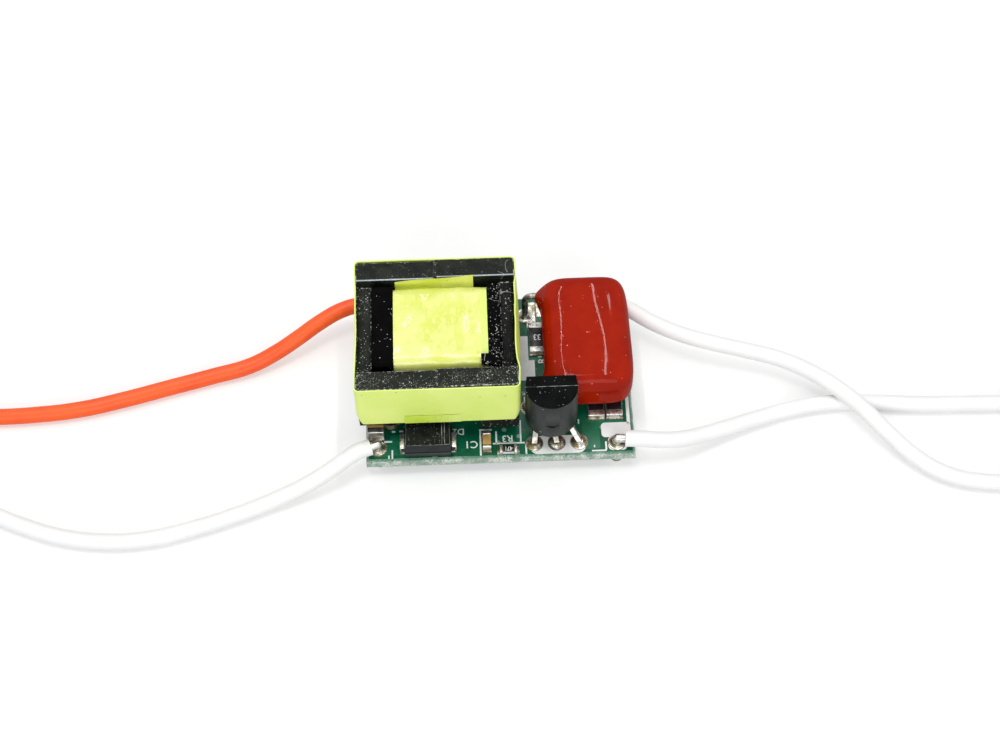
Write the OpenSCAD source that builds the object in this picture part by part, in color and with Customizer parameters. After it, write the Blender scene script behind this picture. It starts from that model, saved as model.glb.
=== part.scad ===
// Bare LED driver: a small scored circuit board that carries a taped ferrite transformer,
// a dipped film capacitor lying flat, a three-leg transistor, surface-mount parts and four leads.
// The board stands on its own solder joints. X runs left to right, Y to the back, Z up.

/* [Board] */
// Thickness of the board
board_t = 1.2; // [0.8:0.1:2]
// Depth of the break-off score along every edge
score = 0.25; // [0.1:0.05:0.35]
// Board in front of the transformer core
front_strip = 2.25; // [2:0.05:4]
// Board behind the transformer core
back_strip = 1.35; // [1:0.05:3]
// Core that stands out past the left edge of the board
core_overhang = 0.45; // [0:0.05:0.8]
// Room between the taped core and the film capacitor
part_gap = 2.25; // [2.2:0.05:4]
// Board to the right of the film capacitor
right_strip = 0.05; // [0:0.05:2]

/* [Transformer core] */
// Length of the two core halves together
core_l = 14.2; // [12:0.1:18]
// Width of the core across its outer legs
core_w = 13.4; // [13:0.1:16]
// Height of the outer legs
core_t = 5.6; // [5:0.1:7]
// Height of the core above the board
core_lift = 2.85; // [2.6:0.05:4]
// Width of each outer leg
leg_w = 1.9; // [1.2:0.1:2.1]
// Thickness of each yoke
yoke_t = 1.4; // [1:0.1:2]
// How far the yoke lies below the tops of the legs
yoke_drop = 1.15; // [0.4:0.05:1.3]
// Width of the centre post
post_w = 5.8; // [4.4:0.1:6]
// Height of the centre post
post_t = 2.6; // [2:0.1:2.8]
// Roundness of the core's outer corners
core_round = 0.4; // [0.2:0.05:0.8]
// Sideways slip of one core half against the other
half_step = 0.14; // [0:0.02:0.16]
// Thickness of the tape around the core
tape_t = 0.13; // [0.06:0.01:0.25]
// Height of the tape around the core
tape_h = 5.45; // [4:0.05:5.6]

/* [Bobbin and windings] */
// Thickness of the left bobbin flange
left_flange_t = 1.9; // [1:0.1:2.2]
// Thickness of the right bobbin flange
right_flange_t = 1.1; // [0.8:0.1:1.8]
// Reach of the wire lug on the right flange over the coil
lug_reach = 0.65; // [0.3:0.05:1]
// Wall of the bobbin tube
bobbin_wall = 0.5; // [0.4:0.05:0.7]
// Width of each pin rail
rail_w = 3.3; // [3:0.1:3.6]
// Height of each pin rail
rail_t = 1.35; // [1:0.05:1.4]
// How far the left rail stops short of the front leg's face
rail_setback = 0.6; // [0:0.1:0.8]
// Pins in each rail
pin_count = 4; // [2:1:5]
// Spacing of the pins
pin_pitch = 3.3; // [2:0.1:3.6]
// Side of each square pin
pin_a = 0.5; // [0.4:0.05:0.6]
// Distance from the end of the core to its row of pins
pin_inset = 2.7; // [2.4:0.05:2.8]
// Build-up of the primary winding
primary_build = 0.35; // [0.2:0.05:0.4]
// Build-up of the tape between the windings
barrier_build = 0.06; // [0.04:0.01:0.1]
// Build-up of the secondary winding
secondary_build = 0.3; // [0.2:0.05:0.35]
// Build-up of the outer tape wrap
wrap_build = 0.09; // [0.06:0.01:0.12]
// Height of the loose tape end that stands up behind the winding
flap_h = 2.1; // [1.2:0.1:2.4]

/* [Film capacitor] */
// Height of the capacitor body above its leads, lying along X
film_h = 7.85; // [6:0.05:10]
// Width of the capacitor body, lying along Y
film_w = 12; // [11.4:0.1:14]
// Thickness of the capacitor body
film_t = 4.8; // [3.6:0.1:6]
// Height of the body above the board
film_lift = 0.8; // [0.75:0.05:2.5]
// Roundness of the rim of the dipped body
film_rim = 1.9; // [1:0.1:2.2]
// Swelling of the body's far side towards the front
film_flare = 0.25; // [0:0.05:0.4]
// Spacing of the two leads
film_pitch = 10; // [7.5:0.5:10]
// Diameter of each lead
film_lead_d = 0.6; // [0.5:0.05:0.7]
// Length of the epoxy run-down on each lead
run_down = 0.8; // [0.4:0.1:1]

/* [Transistor] */
// Width of the body
body_w = 4.6; // [4.2:0.1:5.2]
// Width of the flat face
flat_w = 4.3; // [3.8:0.1:4.6]
// Depth from the flat face to the parting line
flat_depth = 1.08; // [0.9:0.02:1.4]
// Height of the body
body_h = 4.8; // [4.3:0.1:5.3]
// Height of the body above the board
body_lift = 2.4; // [1.5:0.1:4]
// Room between the taped core and the body
body_gap = 0.4; // [0.2:0.05:2]
// Spacing of the legs at the body
leg_pitch = 1.27; // [1.1:0.01:1.4]
// Spacing of the legs at the board
pad_pitch = 2; // [1.8:0.05:2.5]
// Sideways offset of the holes from the body
pad_offset = 0.45; // [0:0.05:0.8]
// Distance of the holes from the front edge of the board
pad_inset = 1.3; // [1.1:0.05:1.6]
// Distance from the holes back to the flat face
flat_setback = 2.6; // [2.2:0.05:3.2]
// Width of each leg
leg_a = 0.45; // [0.35:0.05:0.5]

/* [Output diode] */
// Length of the body
diode_l = 4.15; // [3.8:0.05:4.6]
// Width of the body
diode_w = 2.6; // [2.3:0.05:2.9]
// Height of the body
diode_h = 2; // [1.6:0.05:2.2]
// Slope of the moulded sides
diode_draft = 0.14; // [0.05:0.01:0.25]
// Width of the terminals
diode_lead_w = 1.5; // [1:0.1:1.7]
// Reach of the terminals past the body
diode_reach = 0.45; // [0.3:0.05:0.6]
// Distance from the left edge of the board to the middle of the diode
diode_from_left = 5.57; // [5.3:0.01:6]
// Distance from the front edge of the board to the diode
diode_from_front = 0.1; // [0.05:0.05:0.5]

/* [Chips] */
// Length of a small chip
small_l = 1.6; // [1.4:0.05:1.8]
// Width of a small chip
small_w = 0.8; // [0.6:0.05:0.9]
// Height of the small capacitor
small_cap_h = 0.8; // [0.5:0.05:0.9]
// Height of the small resistor
small_res_h = 0.45; // [0.3:0.05:0.6]
// Length of a large chip
large_l = 3.2; // [2.8:0.05:3.4]
// Width of a large chip
large_w = 1.5; // [1.2:0.05:1.58]
// Height of the large capacitor
large_cap_h = 1.2; // [0.8:0.05:1.3]
// Height of a large resistor
large_res_h = 0.55; // [0.4:0.05:0.7]
// Share of the length under each metal end of a chip
end_share = 0.18; // [0.1:0.01:0.25]

/* [Bridge rectifier] */
// Length of the body
bridge_l = 4.9; // [4.5:0.1:5.2]
// Width of the body
bridge_w = 4; // [3.6:0.1:4.4]
// Height of the body
bridge_h = 1.3; // [1:0.05:2]
// Spacing of its legs
bridge_pitch = 2.5; // [2.2:0.05:2.7]
// Width of each leg
bridge_leg_w = 0.65; // [0.5:0.05:0.8]
// Reach of each foot past the body
bridge_reach = 0.85; // [0.6:0.05:1]

/* [Solder and leads] */
// Height of the solder joints that the board stands on
solder_h = 1.2; // [0.8:0.05:1.6]
// Radius of the pads around the holes
pad_r = 0.8; // [0.7:0.05:0.85]
// Thickness of the copper pads
pad_t = 0.05; // [0.03:0.01:0.1]
// Diameter of the insulated leads
lead_d = 1.5; // [1.2:0.05:1.6]
// Diameter of the bare conductor
conductor_d = 0.8; // [0.5:0.05:0.9]
// Length of the stripped and tinned tips
tip_l = 5; // [3:0.5:8]

/* [Hidden] */
$fn = 48;

// Small clearances and shares that several pieces use
fit = 0.05;
post_fit = 0.1;
eps = 0.01;
hole_clear = 0.1;

// The board follows from the row of large parts that it carries
board_l = core_l - core_overhang + tape_t + part_gap + film_h + right_strip;
board_w = front_strip + core_w + half_step + back_strip;
overall_l = tape_t + core_overhang + board_l;
board_x0 = overall_l / 2 - board_l;
board_x1 = overall_l / 2;
board_y0 = -board_w / 2;
board_y1 = board_w / 2;
under = solder_h;
top = solder_h + board_t;

// Transformer: ends of the core, middle of the posts and the coil around them
core_x0 = board_x0 - core_overhang;
core_x1 = core_x0 + core_l;
core_xm = core_x0 + core_l / 2;
core_y0 = board_y0 + front_strip;
core_ym = core_y0 + (core_w + half_step) / 2;
core_z0 = top + core_lift;
core_z1 = core_z0 + core_t;
post_z = core_z0 + core_t / 2;
tube_w = post_w + 2 * (post_fit + bobbin_wall);
tube_t = post_t + 2 * (post_fit + bobbin_wall);
tube_round = 0.5;
coil_build = primary_build + barrier_build + secondary_build + wrap_build;
coil_w = tube_w + 2 * coil_build;
coil_t = tube_t + 2 * coil_build;
bobbin_l = core_l - 2 * (yoke_t + fit);
coil_l = bobbin_l - left_flange_t - right_flange_t;
coil_x = core_xm + (left_flange_t - right_flange_t) / 2;
flanges = [
  [core_xm - bobbin_l / 2, left_flange_t],
  [core_xm + bobbin_l / 2 - right_flange_t, right_flange_t]
];
lug_t = 0.28;
lug_clear = 0.14;
lug_y0 = core_ym + half_step / 2 - core_w / 2 + leg_w + 0.08;
lug_y1 = core_ym - coil_w / 2 + 0.75;
rails = [
  [core_x0, rail_setback],
  [core_x1 - rail_w, 0]
];
rail_z1 = core_z0 - fit;
rail_z0 = rail_z1 - rail_t;
pin_rows = [core_x0 + pin_inset, core_x1 - pin_inset];
pin_ys = [for (i = [0 : pin_count - 1]) core_ym + (i - (pin_count - 1) / 2) * pin_pitch];

// Transistor, standing in front of the film capacitor
body_x = core_x1 + tape_t + body_gap + body_w / 2;
pad_y = board_y0 + pad_inset;
flat_y = pad_y + flat_setback;
parting_y = flat_y - flat_depth;
body_z = top + body_lift;
transistor_pads = [for (i = [-1 : 1]) [body_x + pad_offset + i * pad_pitch, pad_y]];
mark_r = 0.72;
mark_depth = 0.1;
mark_drop = 2.5;

// Film capacitor, lying on its side with its leads to the left
film_clear = 0.15;
film_x = core_x1 + tape_t + part_gap + film_h / 2;
film_y = flat_y + film_clear + film_w / 2;
film_z = top + film_lift + film_t / 2;
film_lead_x = film_x - film_h / 2 - run_down - film_lead_d;
film_bend = 0.7;
film_socket = 1.2;
film_lead_ys = [film_y - film_pitch / 2, film_y + film_pitch / 2];

// Diode and rectifier, each set by the parts beside it
diode_x = board_x0 + diode_from_left;
diode_y = board_y0 + diode_from_front + diode_w / 2;
diode_lead_t = 0.15;
diode_foot = 1.1;
bridge_x = core_xm;
bridge_y = core_ym;
bridge_leg_t = 0.2;
bridge_foot = 0.6;
bridge_draft = 0.12;
split = 0.45;
diode_enter = diode_lead_t + diode_h * split;
bridge_enter = fit + bridge_h * split;

// Chips: middle, size, turn about Z
filter_at = [core_x1 - 2.95, board_y0 + 1.45];
sense_at = [core_x1 - 1.05, board_y0 + 0.65];
output_at = [board_x0 + 0.15 + large_w / 2, core_y0 + large_l / 2];
snubber_at = [core_x1 + tape_t + 1.1 + large_w / 2, film_lead_ys[1] - 1.15 - large_l / 2];
startup_gap = 0.12;
startup_xs = [
  board_x1 - 0.95 - large_w / 2,
  board_x1 - 0.95 - large_w * 1.5 - startup_gap
];
startup_y = board_y0 + 3.65 + large_l / 2;
chips = [
  [filter_at, small_l, small_w, small_cap_h, 90],
  [sense_at, small_l, small_w, small_res_h, 0],
  [output_at, large_l, large_w, large_cap_h, 90],
  [snubber_at, large_l, large_w, large_res_h, 90],
  [[startup_xs[0], startup_y], large_l, large_w, large_res_h, 90],
  [[startup_xs[1], startup_y], large_l, large_w, large_res_h, 90]
];
FILTER = 0;
SENSE = 1;
OUTPUT = 2;
SNUBBER = 3;
STARTUP = [4, 5];
ceramic_inset = 0.03;
pad_grow = 0.18;

// Routes of the four leads, from the end of the insulation at the board to the stripped tip
route_positive = [
  [-11.3, 7.7, 3.2], [-12.5, 7.7, 3.2], [-14, 7.3, 3.1], [-16, 6.3, 2.7], [-18, 5.1, 2.1], [-20, 4, 1.5],
  [-22.5, 2.9, 1], [-26, 2, 0.8], [-30, 0.9, 0.8], [-34, -0.2, 0.8], [-38, -1.1, 0.8], [-42, -1.5, 0.8],
  [-46, -1.6, 0.8], [-50, -1.5, 0.8], [-54, -1.3, 0.8], [-58, -1.1, 0.8], [-62, -1, 0.8], [-66, -1, 0.8]
];
route_negative = [
  [-11.3, -7.5, 3.2], [-12.4, -7.9, 3.2], [-13.5, -8.5, 2.9], [-15, -9.3, 2.3], [-17, -10.2, 1.6],
  [-19.5, -11.2, 1.1], [-23, -12.5, 0.8], [-27, -13.8, 0.8], [-31, -14.7, 0.8], [-35, -14.8, 0.8],
  [-39, -14.1, 0.8], [-42.5, -12.8, 0.8], [-46, -11.2, 0.8], [-50, -9.7, 0.8], [-54, -8.7, 0.8],
  [-58, -8.1, 0.8], [-62, -8, 0.8], [-66, -8, 0.8]
];
route_line = [
  [11.4, 7.12, 3.2], [12.6, 6.32, 3.2], [14.8, 4.75, 3.1], [17.2, 3.5, 3], [20, 2.5, 2.9], [23, 1.7, 2.7],
  [26, 0.8, 2.5], [28.8, -0.7, 2.4], [31.1, -2.6, 2.4], [33, -4.6, 2.3], [35, -6.9, 1.8], [37.3, -9.2, 1.2],
  [40, -11, 0.9], [43, -11.8, 0.8], [47, -12, 0.8], [52, -11.8, 0.8], [57, -11.6, 0.8], [62, -11.5, 0.8],
  [66, -11.5, 0.8]
];
route_neutral = [
  [11.4, -7.5, 3.2], [12.8, -7.6, 3.2], [14.5, -7.6, 2.9], [16.4, -7.3, 2.4], [18.4, -6.6, 1.8],
  [20.6, -5.7, 1.3], [23.5, -4.6, 0.9], [27, -3.6, 0.8], [31, -3.1, 0.8], [35, -3.3, 0.8], [39, -3.6, 0.8],
  [43, -3.7, 0.8], [47, -3.8, 0.8], [51, -4, 0.8], [55, -4.1, 0.8], [59, -4.2, 0.8], [63, -4.2, 0.8],
  [66, -4.2, 0.8]
];
lead_sides = 8;
lead_clear = 0.02;
// Holes for the leads: distances from the nearest side edge and from the front or back edge
wire_holes = [
  [board_x0 + 1.12, board_y1 - 0.87],
  [board_x0 + 1.08, board_y0 + 1.31],
  [board_x1 - 1.49, board_y1 - 1.06],
  [board_x1 - 1.6, board_y0 + 1.12]
];
wire_starts = [route_positive[0], route_negative[0], route_line[0], route_neutral[0]];

// Every hole in the board: place, then the width and depth of what passes through, or 0 depth if round
joints = concat(
  [for (x = pin_rows, y = pin_ys) [x, y, pin_a, pin_a]],
  [for (p = transistor_pads) [p.x, p.y, leg_a, leg_a]],
  [for (y = film_lead_ys) [film_lead_x, y, film_lead_d, 0]],
  [for (p = wire_holes) [p.x, p.y, conductor_d, 0]]
);
function half_reach(j) = j[3] > 0 ? norm([j[2], j[3]]) / 2 : j[2] / 2;
function hole_r(j) = half_reach(j) + hole_clear;

// Rectangle with round corners, centred
module round_rect(l, w, r) {
  square([l - 2 * r, w], center = true);
  square([l, w - 2 * r], center = true);
  for (sx = [-1, 1], sy = [-1, 1])
    translate([sx * (l / 2 - r), sy * (w / 2 - r)]) circle(r);
}

// Extrudes a profile drawn in Y and Z along X, centred on x = 0
module along_x(l) {
  rotate([90, 0, 90]) translate([0, 0, -l / 2]) linear_extrude(l) children();
}

// What passes through a hole, or the bore that it leaves in its solder
module shank(j, z0, z1) {
  translate([j[0], j[1], z0]) {
    if (j[3] > 0) translate([-j[2] / 2, -j[3] / 2, 0]) cube([j[2], j[3], z1 - z0]);
    else cylinder(d = j[2], h = z1 - z0);
  }
}

// One side of the board outline with the score's slopes, for a length l
module score_profile(l) {
  polygon([
    [-l / 2 + score, under], [l / 2 - score, under], [l / 2, under + score], [l / 2, top - score],
    [l / 2 - score, top], [-l / 2 + score, top], [-l / 2, top - score], [-l / 2, under + score]
  ]);
}

module circuit_board() {
  color([0, 0.36, 0.22]) difference() {
    intersection() {
      translate([(board_x0 + board_x1) / 2, board_w / 2, 0])
        rotate([90, 0, 0]) linear_extrude(board_w) score_profile(board_l);
      translate([board_x0, 0, 0]) rotate([90, 0, 90]) linear_extrude(board_l) score_profile(board_w);
    }
    for (j = joints)
      translate([j[0], j[1], under - 1]) cylinder(r = hole_r(j), h = board_t + 2);
  }
}

// Places a chip's own frame: length along X, standing on its pads
module at_chip(c) {
  translate([c[0].x, c[0].y, top + pad_t]) rotate([0, 0, c[4]]) children();
}

module chip_body(c) {
  end = c[1] * end_share;
  at_chip(c) translate([-c[1] / 2 + end, -c[2] / 2 + ceramic_inset, ceramic_inset])
    cube([c[1] - 2 * end, c[2] - 2 * ceramic_inset, c[3] - 2 * ceramic_inset]);
}

module chip_ends(c) {
  end = c[1] * end_share;
  at_chip(c) for (s = [0, 1])
    mirror([s, 0, 0]) translate([c[1] / 2 - end, -c[2] / 2, 0]) cube([end, c[2], c[3]]);
}

module chip_pads(c) {
  end = c[1] * end_share;
  at_chip(c) for (s = [0, 1])
    mirror([s, 0, 0]) translate([c[1] / 2 - end, -c[2] / 2, -pad_t]) cube([end + pad_grow, c[2], pad_t]);
}

// Solder that climbs the end of a chip in a hollow curve
module end_fillet(x, w, h, run) {
  translate([x, w / 2, 0]) rotate([90, 0, 0]) linear_extrude(w) difference() {
    square([run, h]);
    translate([run, h]) circle(r = min(run, h));
    if (h > run) translate([0, run]) square([run, h - run]);
  }
}

module copper_pads() {
  color([0.85, 0.72, 0.45]) {
    for (j = joints, z = [under - pad_t, top])
      translate([j[0], j[1], z]) difference() {
        cylinder(r = pad_r, h = pad_t);
        translate([0, 0, -1]) cylinder(r = hole_r(j), h = 2);
      }
    for (c = chips) chip_pads(c);
    for (s = [-1, 1])
      translate([
        diode_x + s * (diode_l / 2 + diode_reach - diode_foot / 2) - diode_foot / 2,
        diode_y - diode_lead_w / 2,
        top
      ]) cube([diode_foot, diode_lead_w, pad_t]);
    for (sx = [-1, 1], sy = [-1, 1])
      translate([
        bridge_x + sx * bridge_pitch / 2 - bridge_leg_w / 2,
        bridge_y + sy * (bridge_w / 2 + bridge_reach - bridge_foot / 2) - bridge_foot / 2,
        top
      ]) cube([bridge_leg_w, bridge_foot, pad_t]);
  }
}

// Lug on the right flange that guides the wire's end away from the coil
module wire_lug() {
  thick = flanges[1][1];
  crest = lug_clear + lug_t;
  translate([flanges[1][0], lug_y1, post_z + coil_t / 2])
    rotate([90, 0, 0]) linear_extrude(lug_y1 - lug_y0)
      polygon([[0, -tube_round], [thick, -tube_round], [thick, crest], [-lug_reach, crest],
        [-lug_reach, lug_clear], [0, lug_clear]]);
}

module bobbin() {
  notch = pin_pitch / 3;
  color([0.07, 0.07, 0.07]) difference() {
    union() {
      translate([core_xm, core_ym, post_z]) along_x(bobbin_l) round_rect(tube_w, tube_t, tube_round);
      for (f = flanges) {
        translate([f[0] + f[1] / 2, core_ym, post_z]) along_x(f[1]) round_rect(coil_w, coil_t, tube_round);
        translate([f[0], core_ym - coil_w / 2, rail_z0]) cube([f[1], coil_w, post_z - rail_z0]);
      }
      wire_lug();
      for (r = rails)
        translate([r[0], core_ym - core_w / 2 + r[1], rail_z0]) cube([rail_w, core_w - r[1], rail_t]);
    }
    translate([core_xm, core_ym, post_z]) along_x(bobbin_l + 2)
      square([post_w + 2 * post_fit, post_t + 2 * post_fit], center = true);
    for (x = pin_rows, y = pin_ys)
      translate([x - pin_a / 2, y - pin_a / 2, rail_z0 - 1]) cube([pin_a, pin_a, 1 + rail_t * 0.75]);
    for (x = [core_x0 - 1, core_x1 - 0.6], i = [0 : pin_count - 2])
      translate([x, (pin_ys[i] + pin_ys[i + 1] - notch) / 2, rail_z0 - 1]) cube([1.6, notch, rail_t + 2]);
  }
}

module transformer_pins() {
  color([0.8, 0.8, 0.78]) for (x = pin_rows, y = pin_ys)
    translate([x - pin_a / 2, y - pin_a / 2, 0]) cube([pin_a, pin_a, rail_z0 + rail_t * 0.75]);
}

// One half of the core: two legs, a lower yoke and the centre post, opening towards +X
module core_half() {
  half_l = core_l / 2;
  intersection() {
    union() {
      for (s = [-1, 1])
        translate([0, s * (core_w - leg_w) / 2 - leg_w / 2, 0]) cube([half_l, leg_w, core_t]);
      translate([0, -core_w / 2, 0]) cube([yoke_t, core_w, core_t - yoke_drop]);
      translate([0, -post_w / 2, core_t / 2 - post_t / 2]) cube([half_l, post_w, post_t]);
    }
    translate([half_l, 0, -1]) linear_extrude(core_t + 2) round_rect(core_l, core_w, core_round);
  }
}

module core_half_left() {
  color([0.16, 0.17, 0.16]) translate([core_x0, core_ym - half_step / 2, core_z0]) core_half();
}

module core_half_right() {
  color([0.16, 0.17, 0.16]) translate([core_x1, core_ym + half_step / 2, core_z0])
    rotate([0, 0, 180]) core_half();
}

// One layer wound on the bobbin tube, from one build-up to the next
module coil_layer(inner, build) {
  translate([coil_x, core_ym, post_z]) along_x(coil_l) difference() {
    round_rect(tube_w + 2 * (inner + build), tube_t + 2 * (inner + build), tube_round + inner + build);
    round_rect(tube_w + 2 * inner, tube_t + 2 * inner, tube_round + inner);
  }
}

module primary_winding() {
  color([0.72, 0.38, 0.16]) coil_layer(0, primary_build);
}

module barrier_tape() {
  color([0.95, 0.9, 0.35]) coil_layer(primary_build, barrier_build);
}

module secondary_winding() {
  color([0.85, 0.6, 0.3]) coil_layer(primary_build + barrier_build, secondary_build);
}

// The outer wrap, with its loose end standing up between the coil and the back leg
module winding_tape() {
  flap_y = core_ym + core_w / 2 - leg_w - half_step / 2 - wrap_build - fit;
  flap_z = post_z + coil_t / 2 - tube_round - coil_build - 2 * wrap_build;
  flap_x = coil_x - coil_l / 2 + 0.15;
  flap_l = coil_l - 1.3;
  flap_fall = 0.75;
  color([0.93, 0.97, 0.25]) {
    coil_layer(primary_build + barrier_build + secondary_build, wrap_build);
    translate([flap_x, core_ym + coil_w / 2, flap_z])
      cube([flap_l, flap_y + wrap_build - core_ym - coil_w / 2, wrap_build]);
    translate([flap_x, flap_y + wrap_build, flap_z]) rotate([90, 0, 0]) linear_extrude(wrap_build)
      polygon([[0, 0], [flap_l, 0], [flap_l, flap_h], [0, flap_h - flap_fall]]);
  }
}

// Tape around both core halves, with the start of its last turn showing at the front
module core_tape() {
  ring_w = core_w + half_step;
  end_l = core_l * 0.35;
  end_h = tape_h * 0.28;
  color([0.86, 0.94, 0.5]) translate([core_xm, core_ym, core_z1 - tape_h]) {
    linear_extrude(tape_h) difference() {
      round_rect(core_l + 2 * tape_t, ring_w + 2 * tape_t, core_round + tape_t);
      round_rect(core_l, ring_w, core_round);
    }
    translate([-core_l * 0.19, -ring_w / 2 - 1.4 * tape_t, 0]) cube([end_l, 0.4 * tape_t, end_h]);
  }
}

// Outline and section of the dipped body: both follow superellipses, with a run-down on each lead
film_n = 56;
film_rows = 12;
film_square = 5.5;
film_round = 3.3;
film_dome = 0.18;
function power(v, e) = sign(v) * pow(abs(v), e);
function run_off(y, z) = run_down * exp(-pow(z / 1.1, 2))
  * (exp(-pow((y - film_pitch / 2) / 1.1, 2)) + exp(-pow((y + film_pitch / 2) / 1.1, 2)));
function swell(y) = max(0, 0.3 - y / film_w);
function film_point(a, inset, z) =
  let (x = (film_h / 2 - inset) * power(cos(a), 2 / film_square))
  let (y = (film_w / 2 - inset) * power(sin(a), 2 / film_square))
  [x < 0 ? x - run_off(y, z) * min(1, -4 * x / film_h) : x * (1 + 2 * film_flare * swell(y) / film_h), y, z];
function film_ring(inset, z) = [for (i = [0 : film_n - 1]) film_point(360 * (i + 0.5) / film_n, inset, z)];
function film_rim_ring(row) =
  let (a = -90 + 180 * row / film_rows)
  let (inset = film_rim * (1 - power(cos(a), 2 / film_round)))
  film_ring(inset, (film_t / 2 - film_dome) * power(sin(a), 2 / film_round));

// Skin over a stack of rings of n points each, closed at both ends
module ring_stack(rings) {
  n = len(rings[0]);
  m = len(rings);
  polyhedron(
    points = [for (r = rings, p = r) p],
    faces = concat(
      [[for (i = [0 : n - 1]) i]],
      [for (k = [0 : m - 2], i = [0 : n - 1])
        [k * n + i, (k + 1) * n + i, (k + 1) * n + (i + 1) % n, k * n + (i + 1) % n]],
      [[for (i = [n - 1 : -1 : 0]) (m - 1) * n + i]]
    )
  );
}

module film_capacitor() {
  crown = film_t / 2;
  core_inset = film_rim + (film_h / 2 - film_rim) * 0.55;
  color([0.66, 0.1, 0.04]) difference() {
    translate([film_x, film_y, film_z]) ring_stack(concat(
      [film_ring(core_inset, -crown)],
      [for (row = [0 : film_rows]) film_rim_ring(row)],
      [film_ring(core_inset, crown)]
    ));
    for (y = film_lead_ys) translate([film_x - film_h / 2 - run_down - 1, y, film_z])
      rotate([0, 90, 0]) cylinder(d = film_lead_d, h = film_socket + run_down + 1);
  }
}

module film_capacitor_leads() {
  inner_x = film_x - film_h / 2 + film_socket;
  bend_x = film_lead_x + film_bend;
  color([0.8, 0.8, 0.78]) for (y = film_lead_ys) {
    translate([bend_x, y, film_z]) rotate([0, 90, 0]) cylinder(d = film_lead_d, h = inner_x - bend_x);
    translate([bend_x, y, film_z - film_bend]) rotate([90, 0, 0])
      rotate_extrude(angle = 90, start = 90) translate([film_bend, 0]) circle(d = film_lead_d);
    translate([film_lead_x, y, 0]) cylinder(d = film_lead_d, h = film_z - film_bend);
  }
}

module transistor_body() {
  color([0.12, 0.12, 0.13]) difference() {
    translate([body_x, parting_y, body_z]) linear_extrude(body_h) {
      intersection() {
        circle(d = body_w);
        translate([-body_w, -body_w]) square([2 * body_w, body_w]);
      }
      polygon([[-body_w / 2, -eps], [body_w / 2, -eps], [body_w / 2, 0], [flat_w / 2, flat_depth],
        [-flat_w / 2, flat_depth], [-body_w / 2, 0]]);
    }
    translate([body_x, parting_y - body_w / 2 + mark_depth, body_z + body_h - mark_drop])
      rotate([90, 0, 0]) cylinder(r = mark_r, h = 1);
  }
}

// Legs splay from the body to their wider holes in the board
module transistor_leads() {
  drop = 0.35;
  foot = 0.45;
  leg_y = parting_y;
  color([0.8, 0.8, 0.78]) for (i = [0 : 2]) {
    x0 = body_x + (i - 1) * leg_pitch;
    p = transistor_pads[i];
    translate([x0 - leg_a / 2, leg_y - leg_a / 2, body_z - drop]) cube([leg_a, leg_a, drop]);
    hull() {
      translate([x0 - leg_a / 2, leg_y - leg_a / 2, body_z - drop]) cube([leg_a, leg_a, eps]);
      translate([p.x - leg_a / 2, p.y - leg_a / 2, top + foot]) cube([leg_a, leg_a, eps]);
    }
    translate([p.x - leg_a / 2, p.y - leg_a / 2, 0]) cube([leg_a, leg_a, top + foot + eps]);
  }
}

// Moulded package: two halves that slope away from the parting line
module moulded(l, w, h, draft) {
  hull() {
    translate([-l / 2 + draft, -w / 2 + draft, 0]) cube([l - 2 * draft, w - 2 * draft, eps]);
    translate([-l / 2, -w / 2, h * split]) cube([l, w, eps]);
    translate([-l / 2 + draft, -w / 2 + draft, h - eps]) cube([l - 2 * draft, w - 2 * draft, eps]);
  }
}

// A bent terminal: it lies on its pad, climbs the end of the body and enters at the parting line
module bent_lead(reach, foot, w, t, body_half, enter_z) {
  translate([body_half, -w / 2, enter_z - t]) cube([reach, w, t]);
  translate([body_half + reach - t, -w / 2, 0]) cube([t, w, enter_z]);
  translate([body_half + reach - foot, -w / 2, 0]) cube([foot, w, t]);
}

module diode_body() {
  color([0.13, 0.13, 0.14]) translate([diode_x, diode_y, top + pad_t + diode_lead_t])
    moulded(diode_l, diode_w, diode_h, diode_draft);
}

module diode_terminals() {
  color([0.8, 0.8, 0.78]) translate([diode_x, diode_y, top + pad_t]) for (s = [0, 1]) mirror([s, 0, 0])
    bent_lead(diode_reach, diode_foot, diode_lead_w, diode_lead_t, diode_l / 2, diode_enter);
}

module bridge_body() {
  color([0.1, 0.1, 0.1]) translate([bridge_x, bridge_y, top + pad_t + fit])
    moulded(bridge_l, bridge_w, bridge_h, bridge_draft);
}

module bridge_terminals() {
  color([0.8, 0.8, 0.78]) translate([bridge_x, bridge_y, top + pad_t])
    for (s = [0, 1], x = [-bridge_pitch / 2, bridge_pitch / 2])
      mirror([0, s, 0]) translate([x, 0, 0]) rotate([0, 0, 90])
        bent_lead(bridge_reach, bridge_foot, bridge_leg_w, bridge_leg_t, bridge_w / 2, bridge_enter);
}

module filter_capacitor() {
  color([0.72, 0.55, 0.3]) chip_body(chips[FILTER]);
}

module filter_capacitor_ends() {
  color([0.8, 0.8, 0.78]) chip_ends(chips[FILTER]);
}

module sense_resistor() {
  color([0.08, 0.08, 0.08]) chip_body(chips[SENSE]);
}

module sense_resistor_ends() {
  color([0.8, 0.8, 0.78]) chip_ends(chips[SENSE]);
}

module output_capacitor() {
  color([0.72, 0.55, 0.3]) chip_body(chips[OUTPUT]);
}

module output_capacitor_ends() {
  color([0.8, 0.8, 0.78]) chip_ends(chips[OUTPUT]);
}

module snubber_resistor() {
  color([0.08, 0.08, 0.08]) chip_body(chips[SNUBBER]);
}

module snubber_resistor_ends() {
  color([0.8, 0.8, 0.78]) chip_ends(chips[SNUBBER]);
}

module startup_resistors() {
  color([0.08, 0.08, 0.08]) for (i = STARTUP) chip_body(chips[i]);
}

module startup_resistor_ends() {
  color([0.8, 0.8, 0.78]) for (i = STARTUP) chip_ends(chips[i]);
}

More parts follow.
